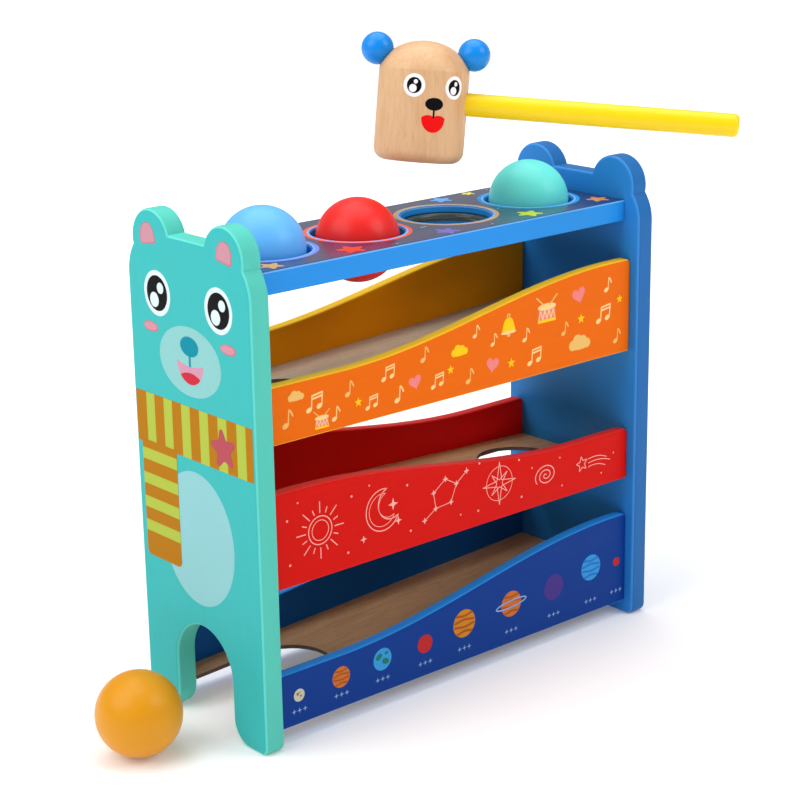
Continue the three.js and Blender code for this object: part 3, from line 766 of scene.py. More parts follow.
def wood_figure_group():
    """Bare wood: broad bands, fine streaks along the grain and short dark flecks."""
    tree, given, out = new_group("wood_figure", [
        ("Vector", "NodeSocketVector", None), ("Light", "NodeSocketColor", (1, 1, 1, 1)),
        ("Dark", "NodeSocketColor", (0.5, 0.4, 0.3, 1)), ("Fleck", "NodeSocketColor", (0.3, 0.2, 0.1, 1)),
    ], [("Colour", "NodeSocketColor"), ("Roughness", "NodeSocketFloat"), ("Height", "NodeSocketFloat")])
    band = add(tree, "ShaderNodeTexNoise", None, {"Scale": 0.12, "Detail": 3.0, "Roughness": 0.55})
    streak = add(tree, "ShaderNodeTexNoise", None, {"Scale": 1.0, "Detail": 5.0, "Roughness": 0.65})
    fleck = add(tree, "ShaderNodeTexNoise", None, {"Scale": 2.3, "Detail": 2.0, "Roughness": 0.5})
    for noise in (band, streak, fleck):
        tree.links.new(given.outputs["Vector"], noise.inputs["Vector"])
    blend = math_node(tree, "MULTIPLY_ADD", streak.outputs["Fac"], 0.6, band.outputs["Fac"])
    body = mix_colour(tree, span(tree, blend, 0.6, 1.0), given.outputs["Light"], given.outputs["Dark"])
    spots = span(tree, fleck.outputs["Fac"], 0.62, 0.74, 0.0, 0.55)
    tree.links.new(mix_colour(tree, spots, body, given.outputs["Fleck"]), out.inputs["Colour"])
    tree.links.new(span(tree, streak.outputs["Fac"], 0.3, 0.7, 0.38, 0.55), out.inputs["Roughness"])
    tree.links.new(math_node(tree, "MULTIPLY_ADD", spots, -0.6, streak.outputs["Fac"]), out.inputs["Height"])
    return tree


def zone_group():
    """Mask of what lies beyond a place along a direction, with a soft border."""
    tree, given, out = new_group("zone", [
        ("Vector", "NodeSocketVector", None), ("Direction", "NodeSocketVector", (0, 0, 1)),
        ("Place", "NodeSocketFloat", 0.0), ("Border", "NodeSocketFloat", 0.0001),
    ], [("Mask", "NodeSocketFloat")])
    along = add(tree, "ShaderNodeVectorMath", {"operation": "DOT_PRODUCT"})
    tree.links.new(given.outputs["Vector"], along.inputs[0])
    tree.links.new(given.outputs["Direction"], along.inputs[1])
    past = math_node(tree, "SUBTRACT", along.outputs["Value"], given.outputs["Place"])
    share = math_node(tree, "DIVIDE", past, given.outputs["Border"])
    tree.links.new(span(tree, share, 0.0, 1.0), out.inputs["Mask"])
    return tree


def group_of(name):
    """A shader group, built the first time it is asked for."""
    makers = {"brushed_paint": brushed_paint_group, "wood_figure": wood_figure_group, "zone": zone_group}
    return bpy.data.node_groups.get(name) or makers[name]()


def place_group(tree, name):
    """A group node in a material."""
    return add(tree, "ShaderNodeGroup", {"node_tree": group_of(name)})


def new_finish(name, grain):
    """A material, its node tree and shader, its Object coordinates, and these scaled along the grain."""
    finish = bpy.data.materials.new(name)
    finish.use_nodes = True
    tree = finish.node_tree
    shader = tree.nodes["Principled BSDF"]
    coords = add(tree, "ShaderNodeTexCoord")
    mapping = add(tree, "ShaderNodeMapping", None, {"Scale": grain})
    tree.links.new(coords.outputs["Object"], mapping.inputs["Vector"])
    return finish, tree, shader, coords.outputs["Object"], mapping.outputs["Vector"]


def finish_surface(tree, shader, group, relief):
    """Feeds a group's colour, roughness and relief, in metres, to the shader."""
    tree.links.new(group.outputs["Colour"], shader.inputs["Base Color"])
    tree.links.new(group.outputs["Roughness"], shader.inputs["Roughness"])
    bump = add(tree, "ShaderNodeBump", None, {"Strength": 0.6, "Distance": relief})
    tree.links.new(group.outputs["Height"], bump.inputs["Height"])
    tree.links.new(bump.outputs["Normal"], shader.inputs["Normal"])


def paint_finish(
        name, colour, grain, zones=(), gloss=(0.36, 0.48), uneven=0.09, relief=0.00004, sheen=0.16, coat=0.0):
    """Painted wood; each zone is a direction, a place along it in metres and the colour beyond it."""
    finish, tree, shader, coords, scaled = new_finish(name, grain)
    group = place_group(tree, "brushed_paint")
    group.inputs["Unevenness"].default_value = uneven
    group.inputs["Smoothest"].default_value, group.inputs["Roughest"].default_value = gloss
    tree.links.new(scaled, group.inputs["Vector"])
    group.inputs["Colour"].default_value = colour
    below = colour
    for direction, place, beyond in zones:
        zone = place_group(tree, "zone")
        zone.inputs["Direction"].default_value = direction
        zone.inputs["Place"].default_value = place
        tree.links.new(coords, zone.inputs["Vector"])
        below = mix_colour(tree, zone.outputs["Mask"], below, beyond)
        tree.links.new(below, group.inputs["Colour"])
    finish_surface(tree, shader, group, relief)
    shader.inputs["Specular IOR Level"].default_value = sheen
    shader.inputs["Coat Weight"].default_value = coat
    shader.inputs["Coat Roughness"].default_value = 0.22
    return finish


def wood_finish(name, wood, grain, relief=0.00005):
    """Bare or clear-lacquered wood."""
    finish, tree, shader, coords, scaled = new_finish(name, grain)
    group = place_group(tree, "wood_figure")
    for label, rgb in zip(("Light", "Dark", "Fleck"), WOODS[wood]):
        group.inputs[label].default_value = display(rgb)
    tree.links.new(scaled, group.inputs["Vector"])
    finish_surface(tree, shader, group, relief)
    return finish, tree, shader, coords, group


def ink_finish(ink):
    """Printed ink, as smooth as the paint under it."""
    name = f"ink_{ink}"
    return bpy.data.materials.get(name) or paint_finish(
        name, display(INKS[ink]), GRAINS["ink"], gloss=(0.36, 0.46), uneven=0.07, relief=0.00002, sheen=0.05)


def ramp_finish(name, hole_x, notched, wood):
    """Plywood with scorched saw cuts: by the distance from the hole's circle, or from its open notch, and
    by the distance from the ramp's middle at its ends."""
    finish, tree, shader, coords, group = wood_finish(name, wood, GRAINS["ramp"])
    parts = add(tree, "ShaderNodeSeparateXYZ")
    tree.links.new(coords, parts.inputs["Vector"])
    along = math_node(tree, "SUBTRACT", parts.outputs["X"], hole_x * MM)
    if notched:
        along = math_node(tree, "MAXIMUM", along, 0.0)
    squares = math_node(tree, "MULTIPLY_ADD", along, along, math_node(tree, "POWER", parts.outputs["Y"], 2.0))
    reach = math_node(tree, "SQRT", squares)
    scorch_from, scorch_to = (RAMP_HOLE_RADIUS + SCORCH_FROM) * MM, (RAMP_HOLE_RADIUS + SCORCH_TO) * MM
    scorch = span(tree, reach, scorch_from, scorch_to, 0.92, 0.0)
    from_middle = math_node(tree, "ABSOLUTE", parts.outputs["X"])
    ends = span(tree, from_middle, (RAMP_END - END_SCORCH) * MM, RAMP_END * MM, 0.0, 0.9)
    burnt = math_node(tree, "MAXIMUM", scorch, ends)
    surface = mix_colour(tree, burnt, group.outputs["Colour"], display(SCORCH_COLOUR))
    tree.links.new(surface, shader.inputs["Base Color"])
    return finish


def board_zones(direction, place, depths, colours):
    """Zones of a painted board towards a face at a place in millimetres, each from a depth under the face."""
    return [(direction, (place - depth) * MM, paint(name)) for depth, name in zip(depths, colours)]


# Prints


def bear_print():
    """Face, scarf and belly of the bear; the first axis runs to the right as one looks at the panel."""
    film = Film()
    film.add("belly_pale", ellipse(0, 104.8, 31.1, 36.2))
    bear_scarf(film)
    film.add("snout_pale", ellipse(0, 199, 26.2, 18.1))
    film.add("nose_teal", ellipse(0, 206.9, 7.8, 5.2), 1)
    film.add("nose_teal", box(-0.8, 196.4, 0.8, 202.6), 2)
    bear_mouth(film, 11.2, 198.6, 11.4)
    for side in (-1, 1):
        eye, pupil, eye_z = 26 * side, 26.1 * side, 229.9
        film.add("face_white", ellipse(eye, eye_z, 11.4, 11.8))
        film.add("eye_black", ellipse(pupil, eye_z, 8.9, 9.2), 1)
        film.add("face_white", ellipse(pupil - 2.5, eye_z - 3.7, 3.8, 3.9), 2)
        film.add("face_white", ellipse(pupil + 3, eye_z + 3, 2.8, 2.9), 2)
        cheek, cheek_z = 32.9 * side, 211.5
        film.add("rim_pink", ellipse(cheek, cheek_z, 6.5, 2.75))
        film.add("cheek_pink", ellipse(cheek - 0.3, cheek_z + 0.1, 5.7, 2.15), 1)
        film.add("rim_pink", inner_ear(side, 1.1))
        film.add("ear_pink", inner_ear(side, 0.97), 1)
    return film


def bear_scarf(film):
    """Scarf round the neck with upright stripes, its tail with level ones, and a star."""
    low, high = 147.2, 175.2
    film.add("scarf_ochre", box(-50, low, 50, high), 1)
    first, step, wide = -40.8, 15.56, 7.4
    for number in range(6):
        stripe = first + step * number
        film.add("scarf_yellow", box(stripe, low, stripe + wide, high), 2)
    left, right, foot, top, corner = -46.5, -15.6, 84.4, 148.9, 3.2
    film.add("scarf_ochre", np.concatenate([
        arc(left + corner, foot + corner, corner, math.pi, 1.5 * math.pi, 8),
        arc(right - corner, foot + corner, corner, -math.pi / 2, 0, 8),
        [[right, top], [left, top]],
    ]), 3)
    for stripe in (144.2, 130.6, 117.4, 104.2):
        film.add("scarf_yellow", box(left, stripe - 6.2, right, stripe), 4)
    film.add("scarf_star", soft_star(25.4, 158.9, 10.6, turn=8), 4)


def bear_mouth(film, half, z, drop):
    """Open mouth: half an ellipse under a sagging lip, with a round-topped tongue in its lowest part."""
    angle = np.linspace(math.pi, TAU, 40)
    lower = np.c_[half * np.cos(angle), z + drop * np.sin(angle)]
    sag = np.linspace(1, -1, 20)[1:-1]
    lip = np.c_[half * sag, z - 2.1 + 2.1 * sag**2]
    film.add("mouth_pink", np.concatenate([lower, lip]), 1)
    below = lower[lower[:, 1] < z - 7.2]
    hump = np.linspace(1, -1, 16)[1:-1]
    tongue_top = np.c_[below[-1, 0] * hump, z - 7.3 + 2.0 * (1 - hump**2)]
    film.add("tongue_red", np.concatenate([below, tongue_top]), 2)


def inner_ear(side, grow=1.0):
    """Pad of an ear: the upper half of an oval over a level, round-cornered foot, leaning with the ear."""
    angle = np.linspace(0, math.pi, 30)
    top = np.c_[5.9 * np.cos(angle), 1.0 + 7.9 * np.sin(angle) ** 0.85]
    corner = 1.2
    foot = 5.9 - corner
    left = arc(-foot, 0, corner, math.pi, 1.5 * math.pi, 6)
    right = arc(foot, 0, corner, -math.pi / 2, 0, 6)
    pad = rotated(grow * np.concatenate([top, left, right]), -9 * side)
    return pad + [31.9 * side, 256.2 - 5 * (grow - 1)]


def shelf_print():
    """Coloured rings round the holes and stars between them."""
    film = Film()
    mouth = HOLE_RADIUS + HOLE_ROUND
    for x, ink in zip(HOLE_X, ("ring_violet", "ring_salmon", "ring_gold", "ring_cyan")):
        film.add("rim_blue", hoop(x, 0, mouth + 0.5, 1.3, 128))
        film.add(ink, hoop(x, 0, mouth + 2.2, 2.1, 128))
    stars = [
        ("star_tan", -113.7, -32.2, 6.6, 12), ("star_red", -61.7, -31.2, 7.8, -10),
        ("star_green", 65.0, -30.6, 7.6, 16), ("star_orange", 120.6, -29.0, 6.8, -14),
        ("star_yellow", 80.3, 35.2, 4.2, 5), ("star_violet", 2.4, -32.6, 7.2, 20),
        ("star_blue", 57.0, 32.2, 6.6, -8), ("star_violet", -64.0, 31.5, 5.4, 14),
        ("star_yellow", -118.5, 31.0, 5.0, -6), ("star_red", 0.0, 33.0, 5.2, 4),
        ("star_tan", 119.5, 31.5, 5.6, 18),
    ]
    for ink, x, y, radius, turn in stars:
        film.add(ink, soft_star(x, y, radius, turn))
    film.add("rim_blue", line((-1.8, -16.6), (2.4, -16.0), width=1.1))
    dots = ((-92, 36), (-20, 35), (32, -36), (96, 36), (-36, -37), (-124, 3), (124, 6), (-62, 12), (63, -8))
    for x, y in dots:
        film.add("rim_blue", ellipse(x, y, 0.7, 0.7, steps=16))
    return film


def music_note(film, x, y, size, flags, ink):
    """Note with an oval head, a stem and a flag; two heads under one beam where flags is 2.
    A film looked at from behind has it mirrored within the room that it takes on the front."""
    wide = film.hand * size
    if film.hand < 0:
        x += size * (0.3 if flags == 1 else 0.95)
    heads = [(x, y)] if flags == 1 else [(x, y), (x + 0.95 * wide, y + 0.14 * size)]
    for hx, hy in heads:
        film.add(ink, ellipse(hx, hy, 0.27 * size, 0.19 * size, 24 * film.hand, steps=24))
        film.add(ink, line((hx + 0.22 * wide, hy), (hx + 0.3 * wide, hy + 1.05 * size), width=0.1 * size), 1)
    if flags == 1:
        t = np.linspace(0, 1, 12)
        flag = np.c_[x + wide * (0.3 + 0.34 * t), y + size * (1.05 - 0.5 * t**1.6)]
        film.add(ink, ribbon(flag, 0.13 * size), 2)
        return
    for drop in (0.0, 0.24):
        beam = [(x + 0.26 * wide, y + (1.0 - drop) * size), (x + 1.28 * wide, y + (1.14 - drop) * size)]
        film.add(ink, line(*beam, width=0.14 * size), 2)


def cloud(film, x, y, size, ink, layer):
    """Cloud of overlapping puffs on a rounded foot."""
    puffs = ((-0.9, 0.0, 0.5), (-0.3, 0.38, 0.6), (0.4, 0.3, 0.52), (0.95, -0.02, 0.46))
    for number, (dx, dy, r) in enumerate(puffs):
        puff = ellipse(x + dx * size, y + dy * size, r * size, r * size, steps=32)
        film.add(ink, puff, layer + 0.25 * number)
    film.add(ink, ellipse(x, y - 0.16 * size, 1.25 * size, 0.36 * size, steps=40), layer + 1.25)


def music_print(base, hand):
    """Notes, clouds, hearts, stars, a bell and two drums on the orange rails; base is the underside."""
    film = Film(hand)
    notes = [
        (-119, 9, 7.5, 1), (-104, 14, 7, 2), (-88, 6, 6, 1), (-79, 17, 6.5, 1), (-55, 20, 6, 2),
        (-46, 7, 7, 1), (-28, 25, 6.5, 1), (-21, 9, 6, 2), (9, 31, 5.5, 1), (4, 7, 6.5, 1), (46, 22, 6, 1),
        (50, 8, 7, 2), (76, 20, 6, 1), (104, 22, 7.5, 2), (110, 39, 6.5, 1), (118, 8, 6.5, 1),
        (22, 24, 5.5, 1), (-66, 7, 5.5, 2),
    ]
    for number, (x, z, size, flags) in enumerate(notes):
        music_note(film, x, base + z, size, flags, "note_cream" if number % 3 else "note_sand")
    cloud(film, 89, base + 11.5, 6.0, "note_sand", 0)
    cloud(film, -112, base + 22.5, 3.6, "note_sand", 0)
    cloud(film, -2, base + 24.5, 4.2, "note_yellow", 0)
    for x, z, size, turn in ((-33.5, 14.5, 4.2, 12), (22, 13.0, 4.6, -10), (88, 40, 5.0, 14)):
        film.add("note_pink", heart(x, base + z, size, turn))
    for x, z, size in ((-72, 11.5, 2.6), (-8.5, 16, 2.6), (36, 11, 3), (90, 26, 3), (121, 32, 2.6)):
        film.add("note_yellow", sharp_star(x, base + z, size))
    bell(film, 34, base + 31.5, 7.0)
    drum(film, 63, base + 34.5, 8.0)
    drum(film, -96, base + 6.5, 5.2)
    return film


def bell(film, x, y, size):
    """Hand bell: a flaring body, a lip and a clapper."""
    t = np.linspace(-1, 1, 24)
    body = np.c_[x + size * 0.72 * np.sign(t) * np.abs(t) ** 0.8, y + size * (0.75 - 1.15 * np.abs(t) ** 2.4)]
    film.add("note_yellow", body[::-1])
    film.add("note_cream", ellipse(x, y - 0.42 * size, 0.82 * size, 0.13 * size, steps=32), 1)
    film.add("note_sand", ellipse(x, y - 0.62 * size, 0.17 * size, 0.17 * size, steps=20))
    film.add("note_sand", hoop(x, y + 0.88 * size, 0.14 * size, 0.1 * size, 24))


def drum(film, x, y, size):
    """Drum: a shell between two rims with zigzag cords, and two sticks."""
    film.add("note_pink", box(x - 0.8 * size, y - 0.55 * size, x + 0.8 * size, y + 0.4 * size))
    film.add("note_cream", ellipse(x, y + 0.4 * size, 0.86 * size, 0.24 * size, steps=40), 1)
    film.add("note_yellow", box(x - 0.86 * size, y - 0.68 * size, x + 0.86 * size, y - 0.48 * size), 1)
    zig = np.linspace(-0.8, 0.8, 9)
    high = np.where(np.arange(9) % 2, 0.16, -0.46)
    film.add("note_cream", line(*np.c_[x + zig * size, y + high * size], width=0.08 * size), 1)
    for way in (-1, 1):
        stick = [(x + way * 0.25 * size, y + 0.5 * size), (x + way * 1.0 * size, y + 1.15 * size)]
        film.add("note_sand", line(*stick, width=0.1 * size), 2)


def sky_print(base, hand):
    """Drawn lines on the red rails: a sun, a moon, a star figure, a compass star, a swirl and a comet."""
    film, width, ink = Film(hand), sizes().line_width / MM, "line_pink"

    def dots(*places, radius=0.65):
        for x, z in places:
            film.add(ink, ellipse(x, base + z, radius, radius, steps=16))

    sun = np.array([-99, base + 26])
    film.add(ink, hoop(*sun, 7.6, width))
    film.add(ink, hoop(*sun, 5.4, 0.7 * width))
    turn = np.linspace(0, TAU, 16, endpoint=False)
    for number, angle in enumerate(turn):
        reach = 15.5 if number % 2 == 0 else 12.6
        way = np.array([math.cos(angle), math.sin(angle)])
        film.add(ink, line(sun + 9.4 * way, sun + reach * way, width=width))
    moon = crescent(-57, base + 26.5, 11.5, 25)
    film.add(ink, ribbon(np.concatenate([moon, moon[:1]]), width))
    inner = crescent(-57.4, base + 26.5, 9.0, 25)
    film.add(ink, ribbon(np.concatenate([inner, inner[:1]]), 0.6 * width))
    for x, z, size in ((-50, 28, 3.4), (-46.5, 18, 2.4), (-70.5, 13.5, 2.2)):
        film.add(ink, sharp_star(x, base + z, size, 4, 0.34))
    figure = np.array([[-28, 13], [-20, 18], [-21.5, 27], [-13, 33], [-5, 28.5], [-9, 19], [-20, 18]])
    film.add(ink, line(*(figure + [0, base]), width=0.7 * width))
    film.add(ink, line((-5, base + 28.5), (2.5, base + 34), width=0.7 * width))
    for x, z in [*figure[:-1].tolist(), [2.5, 34]]:
        film.add(ink, sharp_star(x, base + z, 1.9, 4, 0.4), 1)
    compass = (27, base + 21)
    long_points = sharp_star(*compass, 12.4, 4, 0.2)
    short_points = sharp_star(*compass, 8.2, 4, 0.24, 45)
    for points in (long_points, short_points):
        film.add(ink, line(*np.concatenate([points, points[:1]]), width=0.8 * width))
    film.add(ink, hoop(*compass, 9.8, 0.6 * width))
    t = np.linspace(0.6, 5.2 * math.pi, 120)
    film.add(ink, ribbon(np.c_[63 + 0.52 * t * np.cos(t), base + 17.2 + 0.4 * t * np.sin(t)], width))
    comet = sharp_star(92, base + 17, 4.6, 5, 0.45, 10)
    film.add(ink, line(*np.concatenate([comet, comet[:1]]), width=0.9 * width))
    for drop, reach in ((1.8, 15), (-0.6, 18), (-3.0, 14)):
        s = np.linspace(0, 1, 16)
        film.add(ink, ribbon(np.c_[97.2 + reach * s, base + 17 + drop + 3.4 * s - 5.2 * s**2], 0.8 * width))
    dots((-120, 36), (-119, 12), (-78, 39), (-81, 9), (-40, 36), (-38, 10), (11, 9), (12, 36))
    dots((42, 31), (44, 9))
    dots((52, 24), (74, 25), (76, 8), (108, 8), (118, 18), (-113, 44), (-66, 42), (-2, 10), radius=0.5)
    return film


def planet_print(base, hand):
    """Planets in a row on the blue rails, each over three small stars; base is the underside. A striped one
    has four waves across it, one is ringed by a flat ellipse."""
    film = Film(hand)
    planets = [
        (-115.9, 16.5, 3.5, "disc_grey", None), (-87.8, 17.9, 5.9, "disc_orange", "disc_brown"),
        (-59.3, 19.3, 6.3, "disc_sky", None), (-28.9, 19.1, 5.3, "disc_red", None),
        (0.1, 22.6, 8.1, "disc_gold", "disc_brown"), (36.1, 24.0, 7.6, "disc_orange", "disc_brown"),
        (69.9, 24.7, 7.7, "disc_violet", None), (100.4, 28.4, 7.8, "disc_sky", "disc_blue"),
        (122.0, 26.3, 2.7, "disc_red", None),
    ]
    pitted, spotted, ringed = (np.array(planets[number][:2]) + [0, base] for number in (0, 2, 5))
    star_row, star_step, star_radius = 8.0, 3.6, 1.6
    for x, z, radius, ink, stripe in planets:
        film.add(ink, ellipse(x, base + z, radius, radius, steps=48))
        for step in (-1, 0, 1):
            film.add("disc_pale", sharp_star(x + star_step * step, base + star_row, star_radius, 4, 0.3))
        if stripe is None:
            continue
        for share in (-0.62, -0.2, 0.22, 0.6):
            half = radius * math.sqrt(1 - share**2) * 0.94
            s = np.linspace(-1, 1, 12)
            wave = np.c_[x + half * s, base + z + radius * (share + 0.06 * np.sin(3 * s + 8 * share))]
            film.add(stripe, ribbon(wave, 0.17 * radius), 1)
    lands = ((-2.4, 1.9, 2.3, 1.6, 30), (2.1, -1.6, 2.5, 1.7, -20), (2.8, 3.0, 1.4, 0.9, 10))
    for dx, dz, wide, high, turn in lands:
        film.add("disc_leaf", ellipse(dx, dz, wide, high, turn, 24) + spotted, 1)
    for dx, dz, radius in ((-1.0, 0.8, 0.8), (1.0, -0.6, 0.6), (0.4, 1.5, 0.4)):
        film.add("disc_brown", ellipse(dx, dz, radius, radius, steps=16) + pitted, 1)
    angle = np.linspace(0, TAU - 1e-3, 80)
    belt = rotated(np.c_[11.6 * np.cos(angle), 2.0 * np.sin(angle)], 4)
    film.add("disc_pale", ribbon(belt + ringed, 0.8), 2)
    return film


def hammer_face():
    """Eyes, nose and mouth of the hammer, in arc length and height on the wall of its head."""
    film = Film()
    for side in (-1, 1):
        x, z = 11.5 * side, 8.4
        film.add("hammer_white", ellipse(x, z, 5.9, 6.15))
        film.add("hammer_black", ellipse(x, z, 4.0, 4.2), 1)
        film.add("hammer_white", ellipse(x - 0.6, z - 1.6, 2.05, 2.1), 2)
        film.add("hammer_white", ellipse(x + 0.75, z + 1.95, 1.1, 1.15), 2)
    film.add("hammer_black", ellipse(0, -0.8, 4.95, 3.35))
    s = np.linspace(-1, 1, 31)
    top = np.c_[6.5 * s, -8.2 + 1.15 * np.abs(np.sin(math.pi * np.abs(s))) ** 0.6 + 0.5 * (1 - s**2)]
    angle = np.linspace(0, math.pi, 32)[1:-1]
    film.add("hammer_red", np.concatenate([top, np.c_[6.5 * np.cos(angle), -8.2 - 7.6 * np.sin(angle)]]))
    film.add("hammer_black", box(-0.5, -8.1, 0.5, -3.6), 1)
    return film


def put_hammer_face(film):
    """Makes the hammer's face one piece: each shape is rings round its middle, bent to the head's wall."""
    inks = sorted({ink for _, ink, _ in film.shapes})
    share = np.linspace(0.08, 1, 9)[:, None, None]
    points, faces, numbers, count = [], [], [], 0
    for outline, ink, layer in film.shapes:
        middle = (outline.min(0) + outline.max(0)) / 2
        rings = middle + (outline - middle) * share
        lift = sizes().print_thickness / MM + layer * FILM_LAYER
        stack = np.concatenate([on_wall(rings, lift), on_wall(rings[::-1], -FILM_SINK)])
        skin, skin_faces = stacked_loops(stack)
        points.append(skin)
        faces += [[corner + count for corner in face] for face in skin_faces]
        numbers += [inks.index(ink)] * len(skin_faces)
        count += len(skin)
    finishes = [ink_finish(ink) for ink in inks]
    placed = on_hammer(np.concatenate(points))
    put_piece("hammer_face_print", placed, faces, finishes, "hammer", "beech", (), numbers)


def on_wall(points, lift):
    """Arc length and height bent round the head's wall, at a lift from it."""
    angle = math.radians(FACE_TURN) + points[..., 0] / HEAD_RADIUS
    radius = HEAD_RADIUS + lift
    return np.stack([radius * np.cos(angle), radius * np.sin(angle), points[..., 1]], -1)


# Stage and operators


def put_floor(scene):
    """Makes the pale floor, a flat grid that glows more the further it lies from the bench."""
    side = np.linspace(-FLOOR_HALF, FLOOR_HALF, FLOOR_STEPS)
    grid = np.stack([*np.meshgrid(side, side), np.zeros((FLOOR_STEPS, FLOOR_STEPS))], -1)
    mesh = bpy.data.meshes.new("floor")
    mesh.from_pydata(grid.reshape(-1, 3).tolist(), [], strip_faces(FLOOR_STEPS, FLOOR_STEPS, False).tolist())
    floor = bpy.data.objects.new("floor", mesh)
    scene.collection.objects.link(floor)
    finish, tree, shader, coords, scaled = new_finish("floor_paper", GRAINS["floor"])
    noise = add(tree, "ShaderNodeTexNoise", None, {"Scale": 1.0, "Detail": 2.0})
    tree.links.new(scaled, noise.inputs["Vector"])
    tree.links.new(span(tree, noise.outputs["Fac"], 0.3, 0.7, 0.72, 0.8), shader.inputs["Roughness"])
    shader.inputs["Base Color"].default_value = FLOOR_COLOUR
    shader.inputs["Specular IOR Level"].default_value = 0.1
    shader.inputs["Emission Color"].default_value = WHITE
    reach = add(tree, "ShaderNodeVectorMath", {"operation": "LENGTH"})
    tree.links.new(coords, reach.inputs[0])
    glow = span(tree, reach.outputs["Value"], *GLOW_REACH, *GLOW_STRENGTH)
    tree.links.new(glow, shader.inputs["Emission Strength"])
    mesh.materials.append(finish)


def put_camera(scene):
    """Makes the camera from its yaw, pitch and roll, and gives its axes to the right, up and back."""
    camera_data = bpy.data.cameras.new("view")
    camera_data.sensor_width = SENSOR_MM
    camera_data.lens = LENS_MM
    camera_data.clip_end = VIEW_END
    camera = bpy.data.objects.new("view", camera_data)
    scene.collection.objects.link(camera)
    yaw, pitch, roll = (math.radians(angle) for angle in (VIEW_YAW, VIEW_PITCH, VIEW_ROLL))
    ahead = np.array([math.sin(yaw) * math.cos(pitch), math.cos(yaw) * math.cos(pitch), -math.sin(pitch)])
    level = np.array([math.cos(yaw), -math.sin(yaw), 0.0])
    down = np.cross(ahead, level)
    right = level * math.cos(roll) + down * math.sin(roll)
    up = level * math.sin(roll) - down * math.cos(roll)
    axes = np.column_stack([right, up, -ahead])
    pose = np.eye(4)
    pose[:3, :3], pose[:3, 3] = axes, VIEW_FROM
    camera.matrix_world = Matrix(pose.tolist())
    scene.camera = camera
    return axes


def put_lights(scene, axes):
    """Makes the round soft lights, all at one distance from the bench, each along its own direction."""
    for name, (direction, size, power) in SOFTBOXES.items():
        way = axes @ np.array(direction)
        way /= np.linalg.norm(way)
        lamp = bpy.data.lights.new(name, "AREA")
        lamp.shape, lamp.size, lamp.energy = "DISK", size, power
        light = bpy.data.objects.new(name, lamp)
        scene.collection.objects.link(light)
        place = Matrix.Translation((np.array(LIGHT_AIM) + LIGHT_DISTANCE * way).tolist())
        light.matrix_world = place @ Matrix(np.column_stack(facing(way)).tolist()).to_4x4()


class BENCH_OT_stage(bpy.types.Operator):
    """Makes the pale floor, the soft lights and the camera"""

    bl_idname = "bench.stage"
    bl_label = "Stage"

    def execute(self, context):
        scene = context.scene
        scene.view_settings.view_transform = "Standard"
        scene.view_settings.look = "None"
        put_floor(scene)
        world = scene.world or bpy.data.worlds.new("studio")
        scene.world = world
        world.use_nodes = True
        sky = world.node_tree.nodes["Background"]
        sky.inputs["Color"].default_value = WHITE
        sky.inputs["Strength"].default_value = WORLD_STRENGTH
        put_lights(scene, put_camera(scene))
        return {"FINISHED"}


def facing(way):
    """Three square axes whose third one is the given direction."""
    side = np.cross([0.0, 0.0, 1.0] if abs(way[2]) < 0.95 else [0.0, 1.0, 0.0], way)
    side /= np.linalg.norm(side)
    return side, np.cross(way, side), way


class BENCH_OT_panels(bpy.types.Operator):
    """Makes the two end panels with rounded edges, and the bear's print on the teal one"""

    bl_idname = "bench.panels"
    bl_label = "End panels"

    def execute(self, context):
        thickness, radius = TEAL_HIGH[0] - TEAL_LOW[0], sizes().panel_round / MM
        left = (-1, 0, 0)
        # The rim zone is a painted highlight along the rounded arris of the teal face
        teal_zones = board_zones(left, -PANEL_FACE, PANEL_DEPTHS, ("mint_arris_highlight", "teal"))
        teal = paint_finish("teal_paint", paint("mint"), GRAINS["panel"], teal_zones, sheen=0.1)
        # The inner face is painted lighter than the edges, as painted light, and its rim paler still, as a
        # painted highlight
        blue_zones = board_zones(left, -BLUE_LOW[0], PANEL_DEPTHS, ("blue_arris_highlight", "lit_blue_inside"))
        blue = paint_finish("blue_paint", paint("blue"), GRAINS["panel"], blue_zones)
        for name, x, arched, finish, node, slot in (
            ("teal_panel", PANEL_FACE, True, teal, "end_panel_teal", "teal_paint"),
            ("blue_panel", BLUE_LOW[0], False, blue, "end_panel_blue", "blue_paint"),
        ):
            skin, faces = stacked_loops(board_loops(panel_outline(arched), thickness, radius))
            points = np.c_[x + skin[:, 2], skin[:, 0], skin[:, 1]]
            even_faces(put_piece(name, points, faces, [finish], "bench", slot, [node]))
        bear_print().put(
            "bear_print", lambda p, lift: np.c_[np.full(len(p), PANEL_FACE - lift), -p[:, 0], p[:, 1]],
            "bench", "teal_paint")
        return {"FINISHED"}


